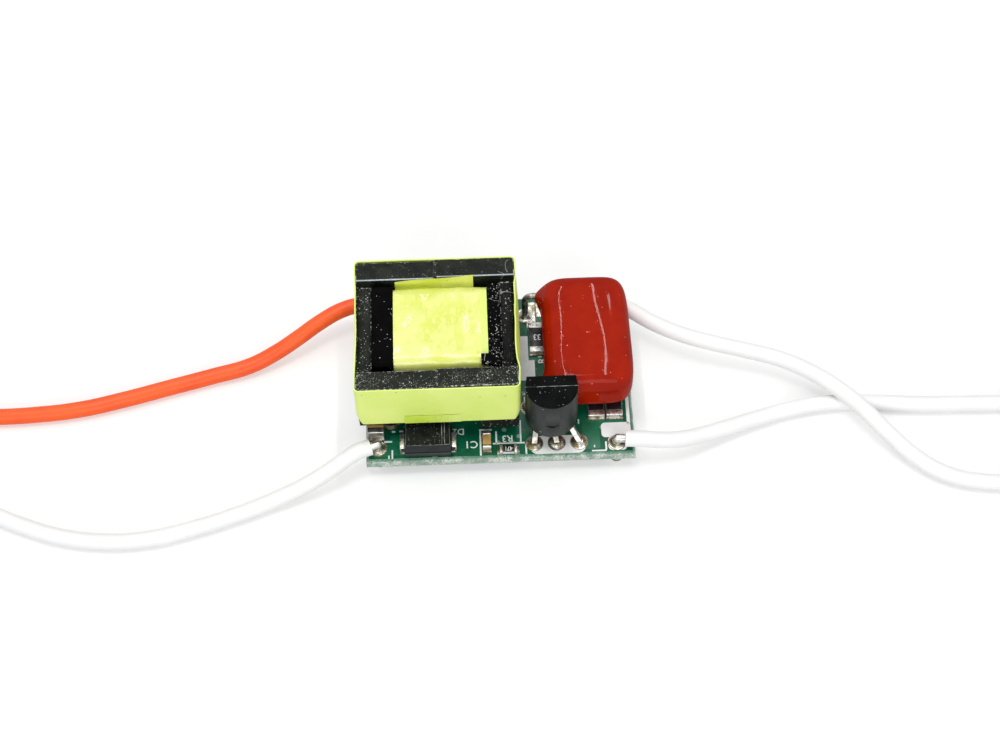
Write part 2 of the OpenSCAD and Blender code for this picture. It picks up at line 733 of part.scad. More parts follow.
module chip_solder() {
  color([0.7, 0.71, 0.72]) for (c = chips) at_chip(c) for (s = [0, 1]) mirror([s, 0, 0])
    end_fillet(c[1] / 2, c[2], c[3] * 0.7, pad_grow);
}

// Solder drawn up a leg on the top face in a hollow curve, from the pad's rim to the leg
module top_fillet(j, h) {
  outer = pad_r * 0.92;
  inner = half_reach(j) + 0.03;
  rise = [for (i = [0 : 6]) let (a = 15 * i) [outer - (outer - inner) * sin(a), h * (1 - cos(a))]];
  translate([j[0], j[1], top + pad_t]) rotate_extrude($fn = 32)
    polygon(concat([[0, 0]], rise, [[0, h]]));
}

// Joints under the board, all of one height so that the board stands level, and the fillets above it
module joint_solder() {
  skirt_h = solder_h * 0.35;
  fillet_h = 0.32;
  color([0.7, 0.71, 0.72]) {
    for (j = joints) difference() {
      union() {
        translate([j[0], j[1], under - pad_t - skirt_h])
          cylinder(r1 = half_reach(j) + 0.15, r2 = pad_r * 0.95, h = skirt_h);
        translate([j[0], j[1], 0]) cylinder(r = half_reach(j) + 0.15, h = under - pad_t - skirt_h + eps);
      }
      shank(j, -1, top);
    }
    for (i = [len(pin_rows) * pin_count : len(joints) - 1]) difference() {
      top_fillet(joints[i], fillet_h);
      shank(joints[i], top - 1, top + 2);
    }
  }
}

// Stripped end of each lead, turned down through the board
module lead_conductors() {
  color([0.8, 0.8, 0.78]) for (i = [0 : 3]) {
    hole = wire_holes[i];
    start = wire_starts[i];
    run = norm([start.x - hole.x, start.y - hole.y]);
    translate([hole.x, hole.y, 0]) cylinder(d = conductor_d, h = start.z);
    translate([hole.x, hole.y, start.z]) sphere(d = conductor_d);
    translate([hole.x, hole.y, start.z]) rotate([0, 90, atan2(start.y - hole.y, start.x - hole.x)])
      cylinder(d = conductor_d, h = run - lead_clear);
  }
}

// Round tube swept along a route, with a ring at each of its points
function unit(v) = v / norm(v);
function heading(route, i) = unit(route[min(i + 1, len(route) - 1)] - route[max(i - 1, 0)]);
function tube_ring(route, i) =
  let (ahead = heading(route, i))
  let (side = unit(cross([0, 0, 1], ahead)))
  let (up = cross(ahead, side))
  [for (k = [0 : lead_sides - 1])
    let (a = 360 * (k + 0.5) / lead_sides)
    route[i] + lead_d / 2 * (cos(a) * side + sin(a) * up)];
module lead_tube(route) {
  ring_stack([for (i = [len(route) - 1 : -1 : 0]) tube_ring(route, i)]);
}

module lead_tip(route) {
  last = route[len(route) - 1];
  out = sign(last.x);
  translate(last) rotate([0, out * 90, 0]) cylinder(d = conductor_d, h = tip_l);
}

module output_positive_lead() {
  color([0.95, 0.35, 0.08]) lead_tube(route_positive);
}

module output_negative_lead() {
  color([0.94, 0.94, 0.93]) lead_tube(route_negative);
}

module input_line_lead() {
  color([0.94, 0.94, 0.93]) lead_tube(route_line);
}

module input_neutral_lead() {
  color([0.94, 0.94, 0.93]) lead_tube(route_neutral);
}

module output_positive_tip() {
  color([0.8, 0.8, 0.78]) lead_tip(route_positive);
}

module output_negative_tip() {
  color([0.8, 0.8, 0.78]) lead_tip(route_negative);
}

module input_line_tip() {
  color([0.8, 0.8, 0.78]) lead_tip(route_line);
}

module input_neutral_tip() {
  color([0.8, 0.8, 0.78]) lead_tip(route_neutral);
}

circuit_board();
copper_pads();
bobbin();
transformer_pins();
core_half_left();
core_half_right();
primary_winding();
barrier_tape();
secondary_winding();
winding_tape();
core_tape();
film_capacitor();
film_capacitor_leads();
transistor_body();
transistor_leads();
diode_body();
diode_terminals();
bridge_body();
bridge_terminals();
filter_capacitor();
filter_capacitor_ends();
sense_resistor();
sense_resistor_ends();
output_capacitor();
output_capacitor_ends();
snubber_resistor();
snubber_resistor_ends();
startup_resistors();
startup_resistor_ends();
chip_solder();
joint_solder();
lead_conductors();
output_positive_lead();
output_negative_lead();
input_line_lead();
input_neutral_lead();
output_positive_tip();
output_negative_tip();
input_line_tip();
input_neutral_tip();
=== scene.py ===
import math

import bmesh
import bpy
from mathutils import Matrix, Vector, noise


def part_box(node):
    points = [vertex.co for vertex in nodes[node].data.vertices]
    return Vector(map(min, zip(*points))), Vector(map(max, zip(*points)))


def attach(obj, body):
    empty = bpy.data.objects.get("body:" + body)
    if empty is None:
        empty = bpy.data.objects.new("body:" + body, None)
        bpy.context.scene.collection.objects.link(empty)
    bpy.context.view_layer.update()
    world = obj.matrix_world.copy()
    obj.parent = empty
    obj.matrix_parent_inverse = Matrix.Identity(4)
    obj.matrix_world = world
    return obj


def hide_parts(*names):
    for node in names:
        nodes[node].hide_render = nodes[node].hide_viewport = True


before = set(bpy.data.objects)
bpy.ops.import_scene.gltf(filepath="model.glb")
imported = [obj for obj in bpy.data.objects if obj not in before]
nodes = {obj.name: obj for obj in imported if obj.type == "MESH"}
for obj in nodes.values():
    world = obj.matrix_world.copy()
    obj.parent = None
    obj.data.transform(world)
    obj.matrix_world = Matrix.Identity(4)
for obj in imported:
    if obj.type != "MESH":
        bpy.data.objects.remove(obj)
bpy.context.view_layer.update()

# Circuit board
# A glass-fibre sheet with a green mask on both faces. It was scored in its panel and snapped off,
# so its four edges are pale, rough and sloped where the score was cut.
MM = 0.001
board_low, board_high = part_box("circuit_board")
board_top = board_high.z


def shader_group(name, inputs, outputs):
    tree = bpy.data.node_groups.new(name, "ShaderNodeTree")
    for label, value in inputs:
        socket = tree.interface.new_socket(label, in_out="INPUT", socket_type="NodeSocketFloat")
        socket.default_value = value
    for label in outputs:
        tree.interface.new_socket(label, in_out="OUTPUT", socket_type="NodeSocketFloat")
    return tree, tree.nodes.new("NodeGroupInput"), tree.nodes.new("NodeGroupOutput")


def math_node(tree, operation, first, second=None):
    made = tree.nodes.new("ShaderNodeMath")
    made.operation = operation
    for socket, value in zip(made.inputs, (first, second)):
        if isinstance(value, (int, float)):
            socket.default_value = value
        elif value is not None:
            tree.links.new(value, socket)
    return made.outputs[0]


def times(tree, first, second):
    return math_node(tree, "MULTIPLY", first, second)


def distance(tree, first, second):
    return math_node(tree, "ABSOLUTE", math_node(tree, "SUBTRACT", first, second))


def spread(tree, value, low, high, out_low=0.0, out_high=1.0):
    made = tree.nodes.new("ShaderNodeMapRange")
    made.interpolation_type = "SMOOTHSTEP"
    tree.links.new(value, made.inputs["Value"])
    ends = (("From Min", low), ("From Max", high), ("To Min", out_low), ("To Max", out_high))
    for label, number in ends:
        made.inputs[label].default_value = number
    return made.outputs["Result"]


def cloud(tree, place, scale, detail=3.0):
    made = tree.nodes.new("ShaderNodeTexNoise")
    made.inputs["Detail"].default_value = detail
    tree.links.new(place, made.inputs["Vector"])
    if isinstance(scale, (int, float)):
        made.inputs["Scale"].default_value = scale
    else:
        tree.links.new(scale, made.inputs["Scale"])
    return made.outputs["Fac"]


# Fine grain and slow swell, in heights from 0 to 1, for any moulded, coated or fired surface
grain_tree, grain_in, grain_out = shader_group(
    "surface_grain",
    [("Fine Scale", 6000.0), ("Slow Scale", 600.0), ("Slow Share", 0.5)],
    ["Height", "Patches"])
grain_place = grain_tree.nodes.new("ShaderNodeTexCoord").outputs["Object"]
fine = cloud(grain_tree, grain_place, grain_in.outputs["Fine Scale"], detail=2.0)
slow = cloud(grain_tree, grain_place, grain_in.outputs["Slow Scale"], detail=3.0)
slow_share = grain_in.outputs["Slow Share"]
fine_share = math_node(grain_tree, "SUBTRACT", 1.0, slow_share)
mixed = math_node(grain_tree, "ADD", times(grain_tree, slow, slow_share),
                  times(grain_tree, fine, fine_share))
grain_tree.links.new(mixed, grain_out.inputs["Height"])
grain_tree.links.new(spread(grain_tree, slow, 0.35, 0.65), grain_out.inputs["Patches"])

# Pale dust: single specks in some of the cells, and a few curled threads of lint
SPECK_LEAST, SPECK_MORE = 0.1, 0.34
SPECK_DIM, SPECK_BRIGHTER = 0.2, 0.8
DRIFT_SCALE, DRIFT_THIN, DRIFT_THICK = 420.0, 0.25, 1.6
LINT_HALF_WIDTH, LINT_CUT_SCALE, LINT_CUT = 0.0028, 1.7, 0.3
dust_tree, dust_in, dust_out = shader_group(
    "pale_dust",
    [("Speck Scale", 2500.0), ("Share", 0.3), ("Lint Scale", 500.0), ("Lint Share", 0.1)],
    ["Specks", "Lint"])
dust_place = dust_tree.nodes.new("ShaderNodeTexCoord").outputs["Object"]
cells = dust_tree.nodes.new("ShaderNodeTexVoronoi")
dust_tree.links.new(dust_place, cells.inputs["Vector"])
dust_tree.links.new(dust_in.outputs["Speck Scale"], cells.inputs["Scale"])
picked = dust_tree.nodes.new("ShaderNodeSeparateColor")
dust_tree.links.new(cells.outputs["Color"], picked.inputs["Color"])
drifts = cloud(dust_tree, dust_place, DRIFT_SCALE, detail=2.0)
drift = spread(dust_tree, drifts, 0.36, 0.64, DRIFT_THIN, DRIFT_THICK)
kept = math_node(dust_tree, "LESS_THAN", picked.outputs["Red"],
                 times(dust_tree, dust_in.outputs["Share"], drift))
reach = math_node(dust_tree, "ADD", times(dust_tree, picked.outputs["Green"], SPECK_MORE), SPECK_LEAST)
dots = math_node(dust_tree, "LESS_THAN", cells.outputs["Distance"], reach)
bright = math_node(dust_tree, "ADD", times(dust_tree, picked.outputs["Blue"], SPECK_BRIGHTER), SPECK_DIM)
specks = times(dust_tree, times(dust_tree, dots, kept), bright)
dust_tree.links.new(specks, dust_out.inputs["Specks"])
lint_scale = dust_in.outputs["Lint Scale"]
ridge = distance(dust_tree, cloud(dust_tree, dust_place, lint_scale, detail=1.0), 0.5)
thread = math_node(dust_tree, "LESS_THAN", ridge, LINT_HALF_WIDTH)
lengths = cloud(dust_tree, dust_place, times(dust_tree, lint_scale, LINT_CUT_SCALE), detail=1.0)
near = math_node(dust_tree, "LESS_THAN", lengths,
                 math_node(dust_tree, "ADD", dust_in.outputs["Lint Share"], LINT_CUT))
dust_tree.links.new(times(dust_tree, thread, near), dust_out.inputs["Lint"])


def finish(name, metallic=0.0, specular=0.5, coat=0.0, coat_roughness=0.05):
    made = bpy.data.materials.new(name)
    made.use_nodes = True
    tree = made.node_tree
    bsdf = tree.nodes["Principled BSDF"]
    bsdf.inputs["Metallic"].default_value = metallic
    bsdf.inputs["Specular IOR Level"].default_value = specular
    bsdf.inputs["Coat Weight"].default_value = coat
    bsdf.inputs["Coat Roughness"].default_value = coat_roughness
    return made, tree, bsdf, tree.nodes.new("ShaderNodeTexCoord").outputs["Object"]


def placed_group(tree, shared, **values):
    made = tree.nodes.new("ShaderNodeGroup")
    made.node_tree = shared
    for label, value in values.items():
        made.inputs[label.replace("_", " ").title()].default_value = value
    return made


def axes_of(tree, place):
    made = tree.nodes.new("ShaderNodeSeparateXYZ")
    tree.links.new(place, made.inputs["Vector"])
    return made.outputs


def blend(tree, mask, first, second):
    made = tree.nodes.new("ShaderNodeMix")
    made.data_type = "RGBA"
    tree.links.new(mask, made.inputs["Factor"])
    for socket, value in ((made.inputs["A"], first), (made.inputs["B"], second)):
        if isinstance(value, tuple):
            socket.default_value = (*value, 1.0)
        else:
            tree.links.new(value, socket)
    return made.outputs["Result"]


def relief(tree, bsdf, height, depth):
    made = tree.nodes.new("ShaderNodeBump")
    made.inputs["Strength"].default_value = 1.0
    made.inputs["Distance"].default_value = depth * MM
    tree.links.new(height, made.inputs["Height"])
    tree.links.new(made.outputs["Normal"], bsdf.inputs["Normal"])


# Roughness and bump both follow the grain, and the colour is given
def textured(tree, bsdf, grain, colour, rough, bump):
    tree.links.new(colour, bsdf.inputs["Base Color"])
    tree.links.new(spread(tree, grain.outputs["Height"], 0.3, 0.7, *rough), bsdf.inputs["Roughness"])
    relief(tree, bsdf, grain.outputs["Height"], bump)


# A surface in patches of two colours, with dust on it where the specks' and the lint's colours are given
def coated(name, fine, slow, slow_share, dark, light, rough, bump, dust=None, speck=None, lint=None, **kind):
    made, tree, bsdf, _ = finish(name, **kind)
    grain = placed_group(tree, grain_tree, fine_scale=fine, slow_scale=slow, slow_share=slow_share)
    colour = blend(tree, grain.outputs["Patches"], dark, light)
    if dust:
        fallen = placed_group(tree, dust_tree, **dust)
        colour = blend(tree, fallen.outputs["Specks"], colour, speck)
        if lint:
            colour = blend(tree, fallen.outputs["Lint"], colour, lint)
    textured(tree, bsdf, grain, colour, rough, bump)
    return made


mask_green = coated("mask_green", fine=9000.0, slow=350.0, slow_share=0.7, rough=(0.26, 0.42), bump=0.012,
                    dark=(0.0006, 0.083, 0.040), light=(0.0010, 0.120, 0.058), specular=0.28,
                    dust={"speck_scale": 1600.0, "share": 0.12}, speck=(0.25, 0.36, 0.3))

RIM_LOW, RIM_HIGH, FOOT = 0.26, 0.06, 0.55
glass_fibre, tree, bsdf, place = finish("glass_fibre", specular=0.3)
grain = placed_group(tree, grain_tree, fine_scale=5000.0, slow_scale=1100.0, slow_share=0.45)
strands = cloud(tree, place, 9000.0, detail=4.0)
pale = blend(tree, grain.outputs["Patches"], (0.34, 0.43, 0.36), (0.76, 0.80, 0.72))
torn = blend(tree, spread(tree, strands, 0.48, 0.66), pale, (0.12, 0.21, 0.165))
height = axes_of(tree, place)["Z"]
rim = spread(tree, height, board_high.z - RIM_LOW * MM, board_high.z - RIM_HIGH * MM, 0.0, 0.7)
rimmed = blend(tree, rim, torn, (0.02, 0.17, 0.10))
foot = spread(tree, height, board_low.z, board_low.z + FOOT * MM, 0.75, 0.0)
tree.links.new(blend(tree, foot, rimmed, (0.26, 0.46, 0.38)), bsdf.inputs["Base Color"])
tree.links.new(spread(tree, strands, 0.3, 0.7, 0.65, 0.95), bsdf.inputs["Roughness"])
relief(tree, bsdf, grain.outputs["Height"], depth=0.22)


def merged_copy(node):
    bm = bmesh.new()
    bm.from_mesh(nodes[node].data)
    bmesh.ops.remove_doubles(bm, verts=bm.verts, dist=0.0005 * MM)
    return bm


def show(bm, name, materials, stands_for=(), smooth_below=40.0):
    mesh = bpy.data.meshes.new(name)
    bm.normal_update()
    bm.to_mesh(mesh)
    bm.free()
    for material in materials:
        mesh.materials.append(material)
    mesh.shade_smooth()
    mesh.set_sharp_from_angle(angle=math.radians(smooth_below))
    made = bpy.data.objects.new(name, mesh)
    bpy.context.scene.collection.objects.link(made)
    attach(made, "root")
    if stands_for:
        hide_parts(*stands_for)
    return made


bm = merged_copy("circuit_board")
for face in bm.faces:
    face.material_index = 1 if abs(face.normal.z) < 0.9 else 0
show(bm, "board_sheet", [mask_green, glass_fibre], ["circuit_board"], smooth_below=20.0)

# Copper under the mask
# Broad tracks etched in the copper foil. The mask was printed over them, so they show as lighter,
# slightly raised green. Each is a hair higher than the one before, so that no two faces coincide.
FOIL, FOIL_STEP, TRACK_CORNER = 0.006, 0.001, 0.25
traced_green = coated("traced_green", fine=8000.0, slow=500.0, slow_share=0.6, rough=(0.22, 0.36), bump=0.01,
                      dark=(0.002, 0.115, 0.055), light=(0.003, 0.15, 0.07), specular=0.45)


def round_over(bm, edges, width, segments):
    return bmesh.ops.bevel(bm, geom=edges, offset=width * MM, offset_type="OFFSET", segments=segments,
                           profile=0.5, affect="EDGES", clamp_overlap=True, material=-1)


def add_box(bm, middle, size):
    shape = Matrix.Translation(middle) @ Matrix.Diagonal((*size, 1.0))
    return bmesh.ops.create_cube(bm, size=1.0, matrix=shape)["verts"]


def lay_plate(bm, x0, y0, x1, y1, thick, level, corner=0.0):
    middle = Vector(((x0 + x1) / 2 * MM, (y0 + y1) / 2 * MM, level + thick / 2 * MM))
    verts = add_box(bm, middle, (abs(x1 - x0) * MM, abs(y1 - y0) * MM, thick * MM))
    if corner:
        upright = dict.fromkeys(e for v in verts for e in v.link_edges
                                if abs(e.verts[0].co.z - e.verts[1].co.z) > 0.5 * thick * MM)
        round_over(bm, list(upright), corner, segments=4)


tracks = (
    (-11.2, -6.6, -9.2, -8.1), (-9.6, -8.0, -8.2, -5.9), (-4.1, -7.9, -2.9, -5.0), (-3.2, -7.6, -1.3, -7.0),
    (2.1, -6.7, 3.3, -3.2), (7.6, -8.0, 9.2, -5.0), (8.0, -5.6, 11.4, -4.7), (2.6, 1.4, 4.3, 2.4),
    (2.4, 4.6, 4.6, 6.9), (-11.3, 6.6, -9.0, 8.1), (9.6, 6.2, 11.6, 8.0), (-6.6, -2.6, -3.5, 3.4))
bm = bmesh.new()
for order, track in enumerate(tracks):
    lay_plate(bm, *track, FOIL + FOIL_STEP * order, board_top, corner=TRACK_CORNER)
show(bm, "covered_tracks", [traced_green])

# Printed legend
# White ink screened on the mask: outlines round the parts, keep-clear blocks, and the parts'
# reference marks, which read from the back edge.
INK = 0.026
CAPITAL_SHARE, BOLDER = 0.7, 0.012
legend_white = coated("legend_white", fine=7000.0, slow=900.0, slow_share=0.5, rough=(0.5, 0.7), bump=0.01,
                      dark=(0.84, 0.87, 0.87), light=(0.92, 0.94, 0.93), specular=0.3)


def lay_words(bm, words, x, y, height, turn, level, thick=INK, narrow=1.0):
    curve = bpy.data.curves.new("words", "FONT")
    curve.body = words
    curve.align_x, curve.align_y = "CENTER", "CENTER"
    curve.size = height * MM / CAPITAL_SHARE
    curve.extrude = thick * MM / 2
    curve.offset = BOLDER * height * MM
    curve.resolution_u = 4
    holder = bpy.data.objects.new("words", curve)
    bpy.context.scene.collection.objects.link(holder)
    bpy.context.view_layer.update()
    graph = bpy.context.evaluated_depsgraph_get()
    mesh = bpy.data.meshes.new_from_object(holder.evaluated_get(graph))
    mesh.transform(Matrix.Translation((x * MM, y * MM, level + thick / 2 * MM))
                   @ Matrix.Rotation(math.radians(turn), 4, "Z") @ Matrix.Diagonal((narrow, 1.0, 1.0, 1.0)))
    bm.from_mesh(mesh)
    bpy.data.objects.remove(holder)
    bpy.data.curves.remove(curve)
    bpy.data.meshes.remove(mesh)


strokes = (
    (-1.58, -8.3, -1.42, -5.6), (-1.42, -5.76, -0.45, -5.6), (-0.16, -7.15, 0.0, -5.85),
    (-0.4, -7.2, 2.45, -7.06), (2.04, -7.06, 2.18, -4.8), (2.48, -8.3, 2.64, -7.3),
    (-10.1, -6.66, -9.4, -6.5), (-9.46, -8.35, -9.32, -7.45), (-9.75, -8.35, -9.63, -8.0),
    (-9.4, -5.62, -9.1, -5.48), (-8.75, -5.6, -8.4, -5.46), (8.4, -8.27, 9.72, -8.13),
    (9.62, -8.13, 9.78, -7.3), (8.6, -7.85, 8.72, -7.62), (7.3, -5.35, 7.42, -4.9), (4.9, 0.6, 5.05, 2.6))
blocks = (
    (2.3, -0.6, 3.69, 1.55, 0.0), (2.3, 1.55, 3.15, 4.2, 0.0), (2.9, -8.35, 7.9, -6.5, 0.7),
    (9.35, -6.85, 12.0, -5.35, 0.35), (11.7, -5.5, 12.0, -3.4, 0.0), (11.7, -3.4, 12.0, 5.4, 0.0),
    (9.9, -8.2, 11.6, -6.8, 0.4))
marks = (("C1", -2.33, -7.12, 0.72, 180), ("D2", -3.45, -5.75, 0.62, 180), ("R3", 0.92, -6.63, 0.66, 180),
         ("R5", 4.4, 1.7, 0.7, 90), ("T1", 3.0, -2.4, 0.8, 90))
bm = bmesh.new()
for stroke in strokes:
    lay_plate(bm, *stroke, INK, board_top)
for *block, corner in blocks:
    lay_plate(bm, *block, INK, board_top, corner=corner)
for words, x, y, height, turn in marks:
    lay_words(bm, words, x, y, height, turn, board_top)
show(bm, "printed_legend", [legend_white])

# Solder, pads and tinned metal
# Pads of copper foil levelled with tin, two of them with no part on them, and joints where each leg was
# dipped through the solder wave. A little brown flux is left around the joints that were made by hand.
PAD, PAD_CORNER = 0.03, 0.1
JOINT_EASE = 0.07
solder_bright, tree, bsdf, place = finish("solder_bright", metallic=0.9)
grain = placed_group(tree, grain_tree, fine_scale=4500.0, slow_scale=1300.0, slow_share=0.75)
stain = spread(tree, cloud(tree, place, 1300.0, detail=4.0), 0.44, 0.6)
tree.links.new(blend(tree, stain, (0.55, 0.54, 0.50), (0.20, 0.165, 0.085)), bsdf.inputs["Base Color"])
tree.links.new(spread(tree, grain.outputs["Height"], 0.35, 0.65, 0.22, 0.5), bsdf.inputs["Roughness"])
relief(tree, bsdf, grain.outputs["Height"], depth=0.12)

tin_grain = {"fine": 6500.0, "slow": 1800.0, "slow_share": 0.5, "rough": (0.24, 0.46), "bump": 0.03}
tinned = coated("tinned", dark=(0.42, 0.41, 0.38), light=(0.64, 0.63, 0.60), metallic=0.95, **tin_grain)
# Painted shade: a darker copy of tinned, for the legs that stand in shade.
tinned_painted_shade = coated("tinned_painted_shade", dark=(0.15, 0.145, 0.125), light=(0.46, 0.45, 0.42), metallic=0.95,
                     **tin_grain)
flux_pad = coated("flux_pad", fine=5000.0, slow=1500.0, slow_share=0.6, rough=(0.28, 0.55), bump=0.03,
                  dark=(0.16, 0.13, 0.05), light=(0.44, 0.39, 0.27), metallic=0.75)


def flat_faced_copy(node):
    bm = merged_copy(node)
    bmesh.ops.dissolve_limit(bm, angle_limit=math.radians(0.5), use_dissolve_boundaries=False,
                             verts=bm.verts, edges=bm.edges, delimit=set())
    return bm


def ease_edges(bm, width, segments=2, above=28.0):
    sharp = [e for e in bm.edges
             if len(e.link_faces) == 2 and e.calc_face_angle(0.0) > math.radians(above)]
    return round_over(bm, sharp, width, segments)


def repaint(node, material):
    nodes[node].data.materials.clear()
    nodes[node].data.materials.append(material)


repaint("copper_pads", flux_pad)
bm = bmesh.new()
for pad in ((3.15, 4.9, 3.95, 7.9), (4.05, 6.3, 4.7, 7.9)):
    lay_plate(bm, *pad, PAD, board_top, corner=PAD_CORNER)
show(bm, "bare_pads", [solder_bright])
bm = flat_faced_copy("joint_solder")
ease_edges(bm, JOINT_EASE, segments=3)
show(bm, "wave_joints", [solder_bright], ["joint_solder"], smooth_below=60.0)
bm = merged_copy("chip_solder")
show(bm, "chip_fillets", [solder_bright], ["chip_solder"], smooth_below=50.0)
for node in ("transformer_pins", "lead_conductors", "bridge_terminals"):
    repaint(node, tinned)
# Painted shade: the capacitor's and the transistor's legs take the darker copy of tinned.
for node in ("film_capacitor_leads", "transistor_leads"):
    repaint(node, tinned_painted_shade)

# Transformer bobbin
# Black moulded plastic: a tube with two flanges for the coil and two rails that hold the pins.
# Its flange tops lie open between the core's legs and gather dust, and its rails are a little greyer.
RAIL_FULL, RAIL_END, DUSTY_FROM, BOBBIN_EASE = 1.2, 1.45, -4.0, 0.06
bobbin_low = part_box("bobbin")[0]
bobbin_blacks = []
for name, share, lint in (("bobbin_black", 0.035, 0.08), ("bobbin_dusty", 0.32, 0.16)):
    made, tree, bsdf, place = finish(name, specular=0.02)
    grain = placed_group(tree, grain_tree, fine_scale=7000.0, slow_scale=900.0, slow_share=0.4)
    dust = placed_group(tree, dust_tree, speck_scale=7500.0, share=share, lint_scale=380.0, lint_share=lint)
    black = blend(tree, grain.outputs["Patches"], (0.0008, 0.0008, 0.0008), (0.0024, 0.0026, 0.0024))
    rail = spread(tree, axes_of(tree, place)["Z"], bobbin_low.z + RAIL_FULL * MM,
                  bobbin_low.z + RAIL_END * MM, 1.0, 0.0)
    railed = blend(tree, rail, black, (0.011, 0.013, 0.011))
    specked = blend(tree, dust.outputs["Specks"], railed, (0.62, 0.64, 0.62))
    linted = blend(tree, dust.outputs["Lint"], specked, (0.4, 0.41, 0.39))
    textured(tree, bsdf, grain, linted, rough=(0.4, 0.6), bump=0.03)
    bobbin_blacks.append(made)
bm = flat_faced_copy("bobbin")
ease_edges(bm, BOBBIN_EASE)
for face in bm.faces:
    face.material_index = 1 if face.calc_center_median().x > DUSTY_FROM * MM else 0
show(bm, "coil_former", bobbin_blacks, ["bobbin"])

# Transformer core
# Two pressed and fired ferrite halves whose middle legs meet inside the bobbin. The faces are ground,
# the edges are chipped pale, and the two halves sit a little out of line. Painted shade darkens the right
# yoke's sunk top, and a painted highlight runs along the back leg's inner top edge.
CORE_EASE = 0.09
FRONT_LEG, BACK_LEG = (-4.8 * MM, -3.6 * MM), (4.6 * MM, 5.2 * MM)
GLINT_FROM, GLINT_TO = (4.9 * MM, 5.1 * MM), (5.6 * MM, 5.9 * MM)
YOKE_FROM, YOKE_TO, YOKE_HALF, YOKE_END = 1.5, 1.35, 4.5, 4.85
SEAM, SEAM_CLEAR, LEG_DARK, LEG_LIT = 0.12, 0.2, 0.6, 0.4


def chipped(tree, place, whole, pale):
    worn = tree.nodes.new("ShaderNodeAttribute")
    worn.attribute_name = "worn"
    gone = spread(tree, cloud(tree, place, 4200.0, detail=4.0), 0.5, 0.62)
    chips = times(tree, worn.outputs["Fac"], gone)
    return blend(tree, chips, whole, pale), worn.outputs["Fac"]


def worn_edges(bm, width, segments=2, above=28.0):
    wear = bm.faces.layers.float.new("worn")
    for face in ease_edges(bm, width, segments, above)["faces"]:
        face[wear] = 1.0


core_low, core_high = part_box("core_half_right")
core_middle = (core_low.y + core_high.y) / 2
ferrite_grey, tree, bsdf, place = finish("ferrite_grey", specular=0.1, coat_roughness=0.2)
axes = axes_of(tree, place)
grain = placed_group(tree, grain_tree, fine_scale=5200.0, slow_scale=700.0, slow_share=0.35)
dust = placed_group(tree, dust_tree, speck_scale=7000.0, share=0.25, lint_scale=330.0, lint_share=0.12)
powder = placed_group(tree, dust_tree, speck_scale=11000.0, share=0.62)
grey = blend(tree, grain.outputs["Patches"], (0.006, 0.0075, 0.0055), (0.017, 0.020, 0.0145))
# Painted shade: the right yoke's sunk top, between the legs, is darkened to near black.
yoke_shade_mask = times(tree,
                spread(tree, axes["X"], core_high.x - YOKE_FROM * MM, core_high.x - YOKE_TO * MM),
                spread(tree, distance(tree, axes["Y"], core_middle), YOKE_HALF * MM, YOKE_END * MM, 1.0, 0.0))
yoke_painted_shade = blend(tree, yoke_shade_mask, grey, (0.0016, 0.0019, 0.0016))
settled = times(tree, powder.outputs["Specks"], spread(tree, axes["Y"], *FRONT_LEG, 1.0, 0.15))
powdered = blend(tree, settled, yoke_painted_shade, (0.44, 0.46, 0.36))
cleaner = times(tree, dust.outputs["Specks"], spread(tree, axes["Y"], *BACK_LEG, 1.0, 0.3))
specked = blend(tree, cleaner, powdered, (0.52, 0.54, 0.50))
linted = blend(tree, dust.outputs["Lint"], specked, (0.3, 0.31, 0.28))
chipped_grey, worn = chipped(tree, place, linted, (0.46, 0.48, 0.45))
# Painted highlight: a bluish-white glint along the back leg's inner top edge, kept off the seam.
inner_edge = times(tree, spread(tree, axes["Y"], *GLINT_FROM, 0.0, 0.75),
                   spread(tree, axes["Y"], *GLINT_TO, 1.0, 0.0))
off_seam = spread(tree, distance(tree, axes["X"], core_low.x), SEAM * MM, SEAM_CLEAR * MM)
on_leg = times(tree, off_seam,
               spread(tree, axes["Z"], core_high.z - LEG_DARK * MM, core_high.z - LEG_LIT * MM))
glint = times(tree, worn, times(tree, inner_edge, on_leg))
glinting = blend(tree, glint, chipped_grey, (0.50, 0.57, 0.62))
textured(tree, bsdf, grain, glinting, rough=(0.34, 0.56), bump=0.05)
tree.links.new(times(tree, worn, 0.8), bsdf.inputs["Coat Weight"])
for node, name in (("core_half_left", "core_left"), ("core_half_right", "core_right")):
    bm = flat_faced_copy(node)
    worn_edges(bm, CORE_EASE)
    show(bm, name, [ferrite_grey], [node])

# Windings
# Enamelled copper wire in close turns, with a barrier of film between the primary and the secondary.
# They lie under the outer wrap and show only at its ends.
enamelled, tree, bsdf, place = finish("enamelled", metallic=0.85, coat=0.6)
turns = tree.nodes.new("ShaderNodeTexWave")
turns.bands_direction = "X"
turns.inputs["Scale"].default_value = 1900.0
turns.inputs["Distortion"].default_value = 0.4
tree.links.new(place, turns.inputs["Vector"])
copper = blend(tree, turns.outputs["Fac"], (0.20, 0.07, 0.02), (0.62, 0.26, 0.09))
tree.links.new(copper, bsdf.inputs["Base Color"])
tree.links.new(spread(tree, cloud(tree, place, 900.0), 0.3, 0.7, 0.2, 0.34), bsdf.inputs["Roughness"])
relief(tree, bsdf, turns.outputs["Fac"], depth=0.05)
for node in ("primary_winding", "secondary_winding"):
    repaint(node, enamelled)

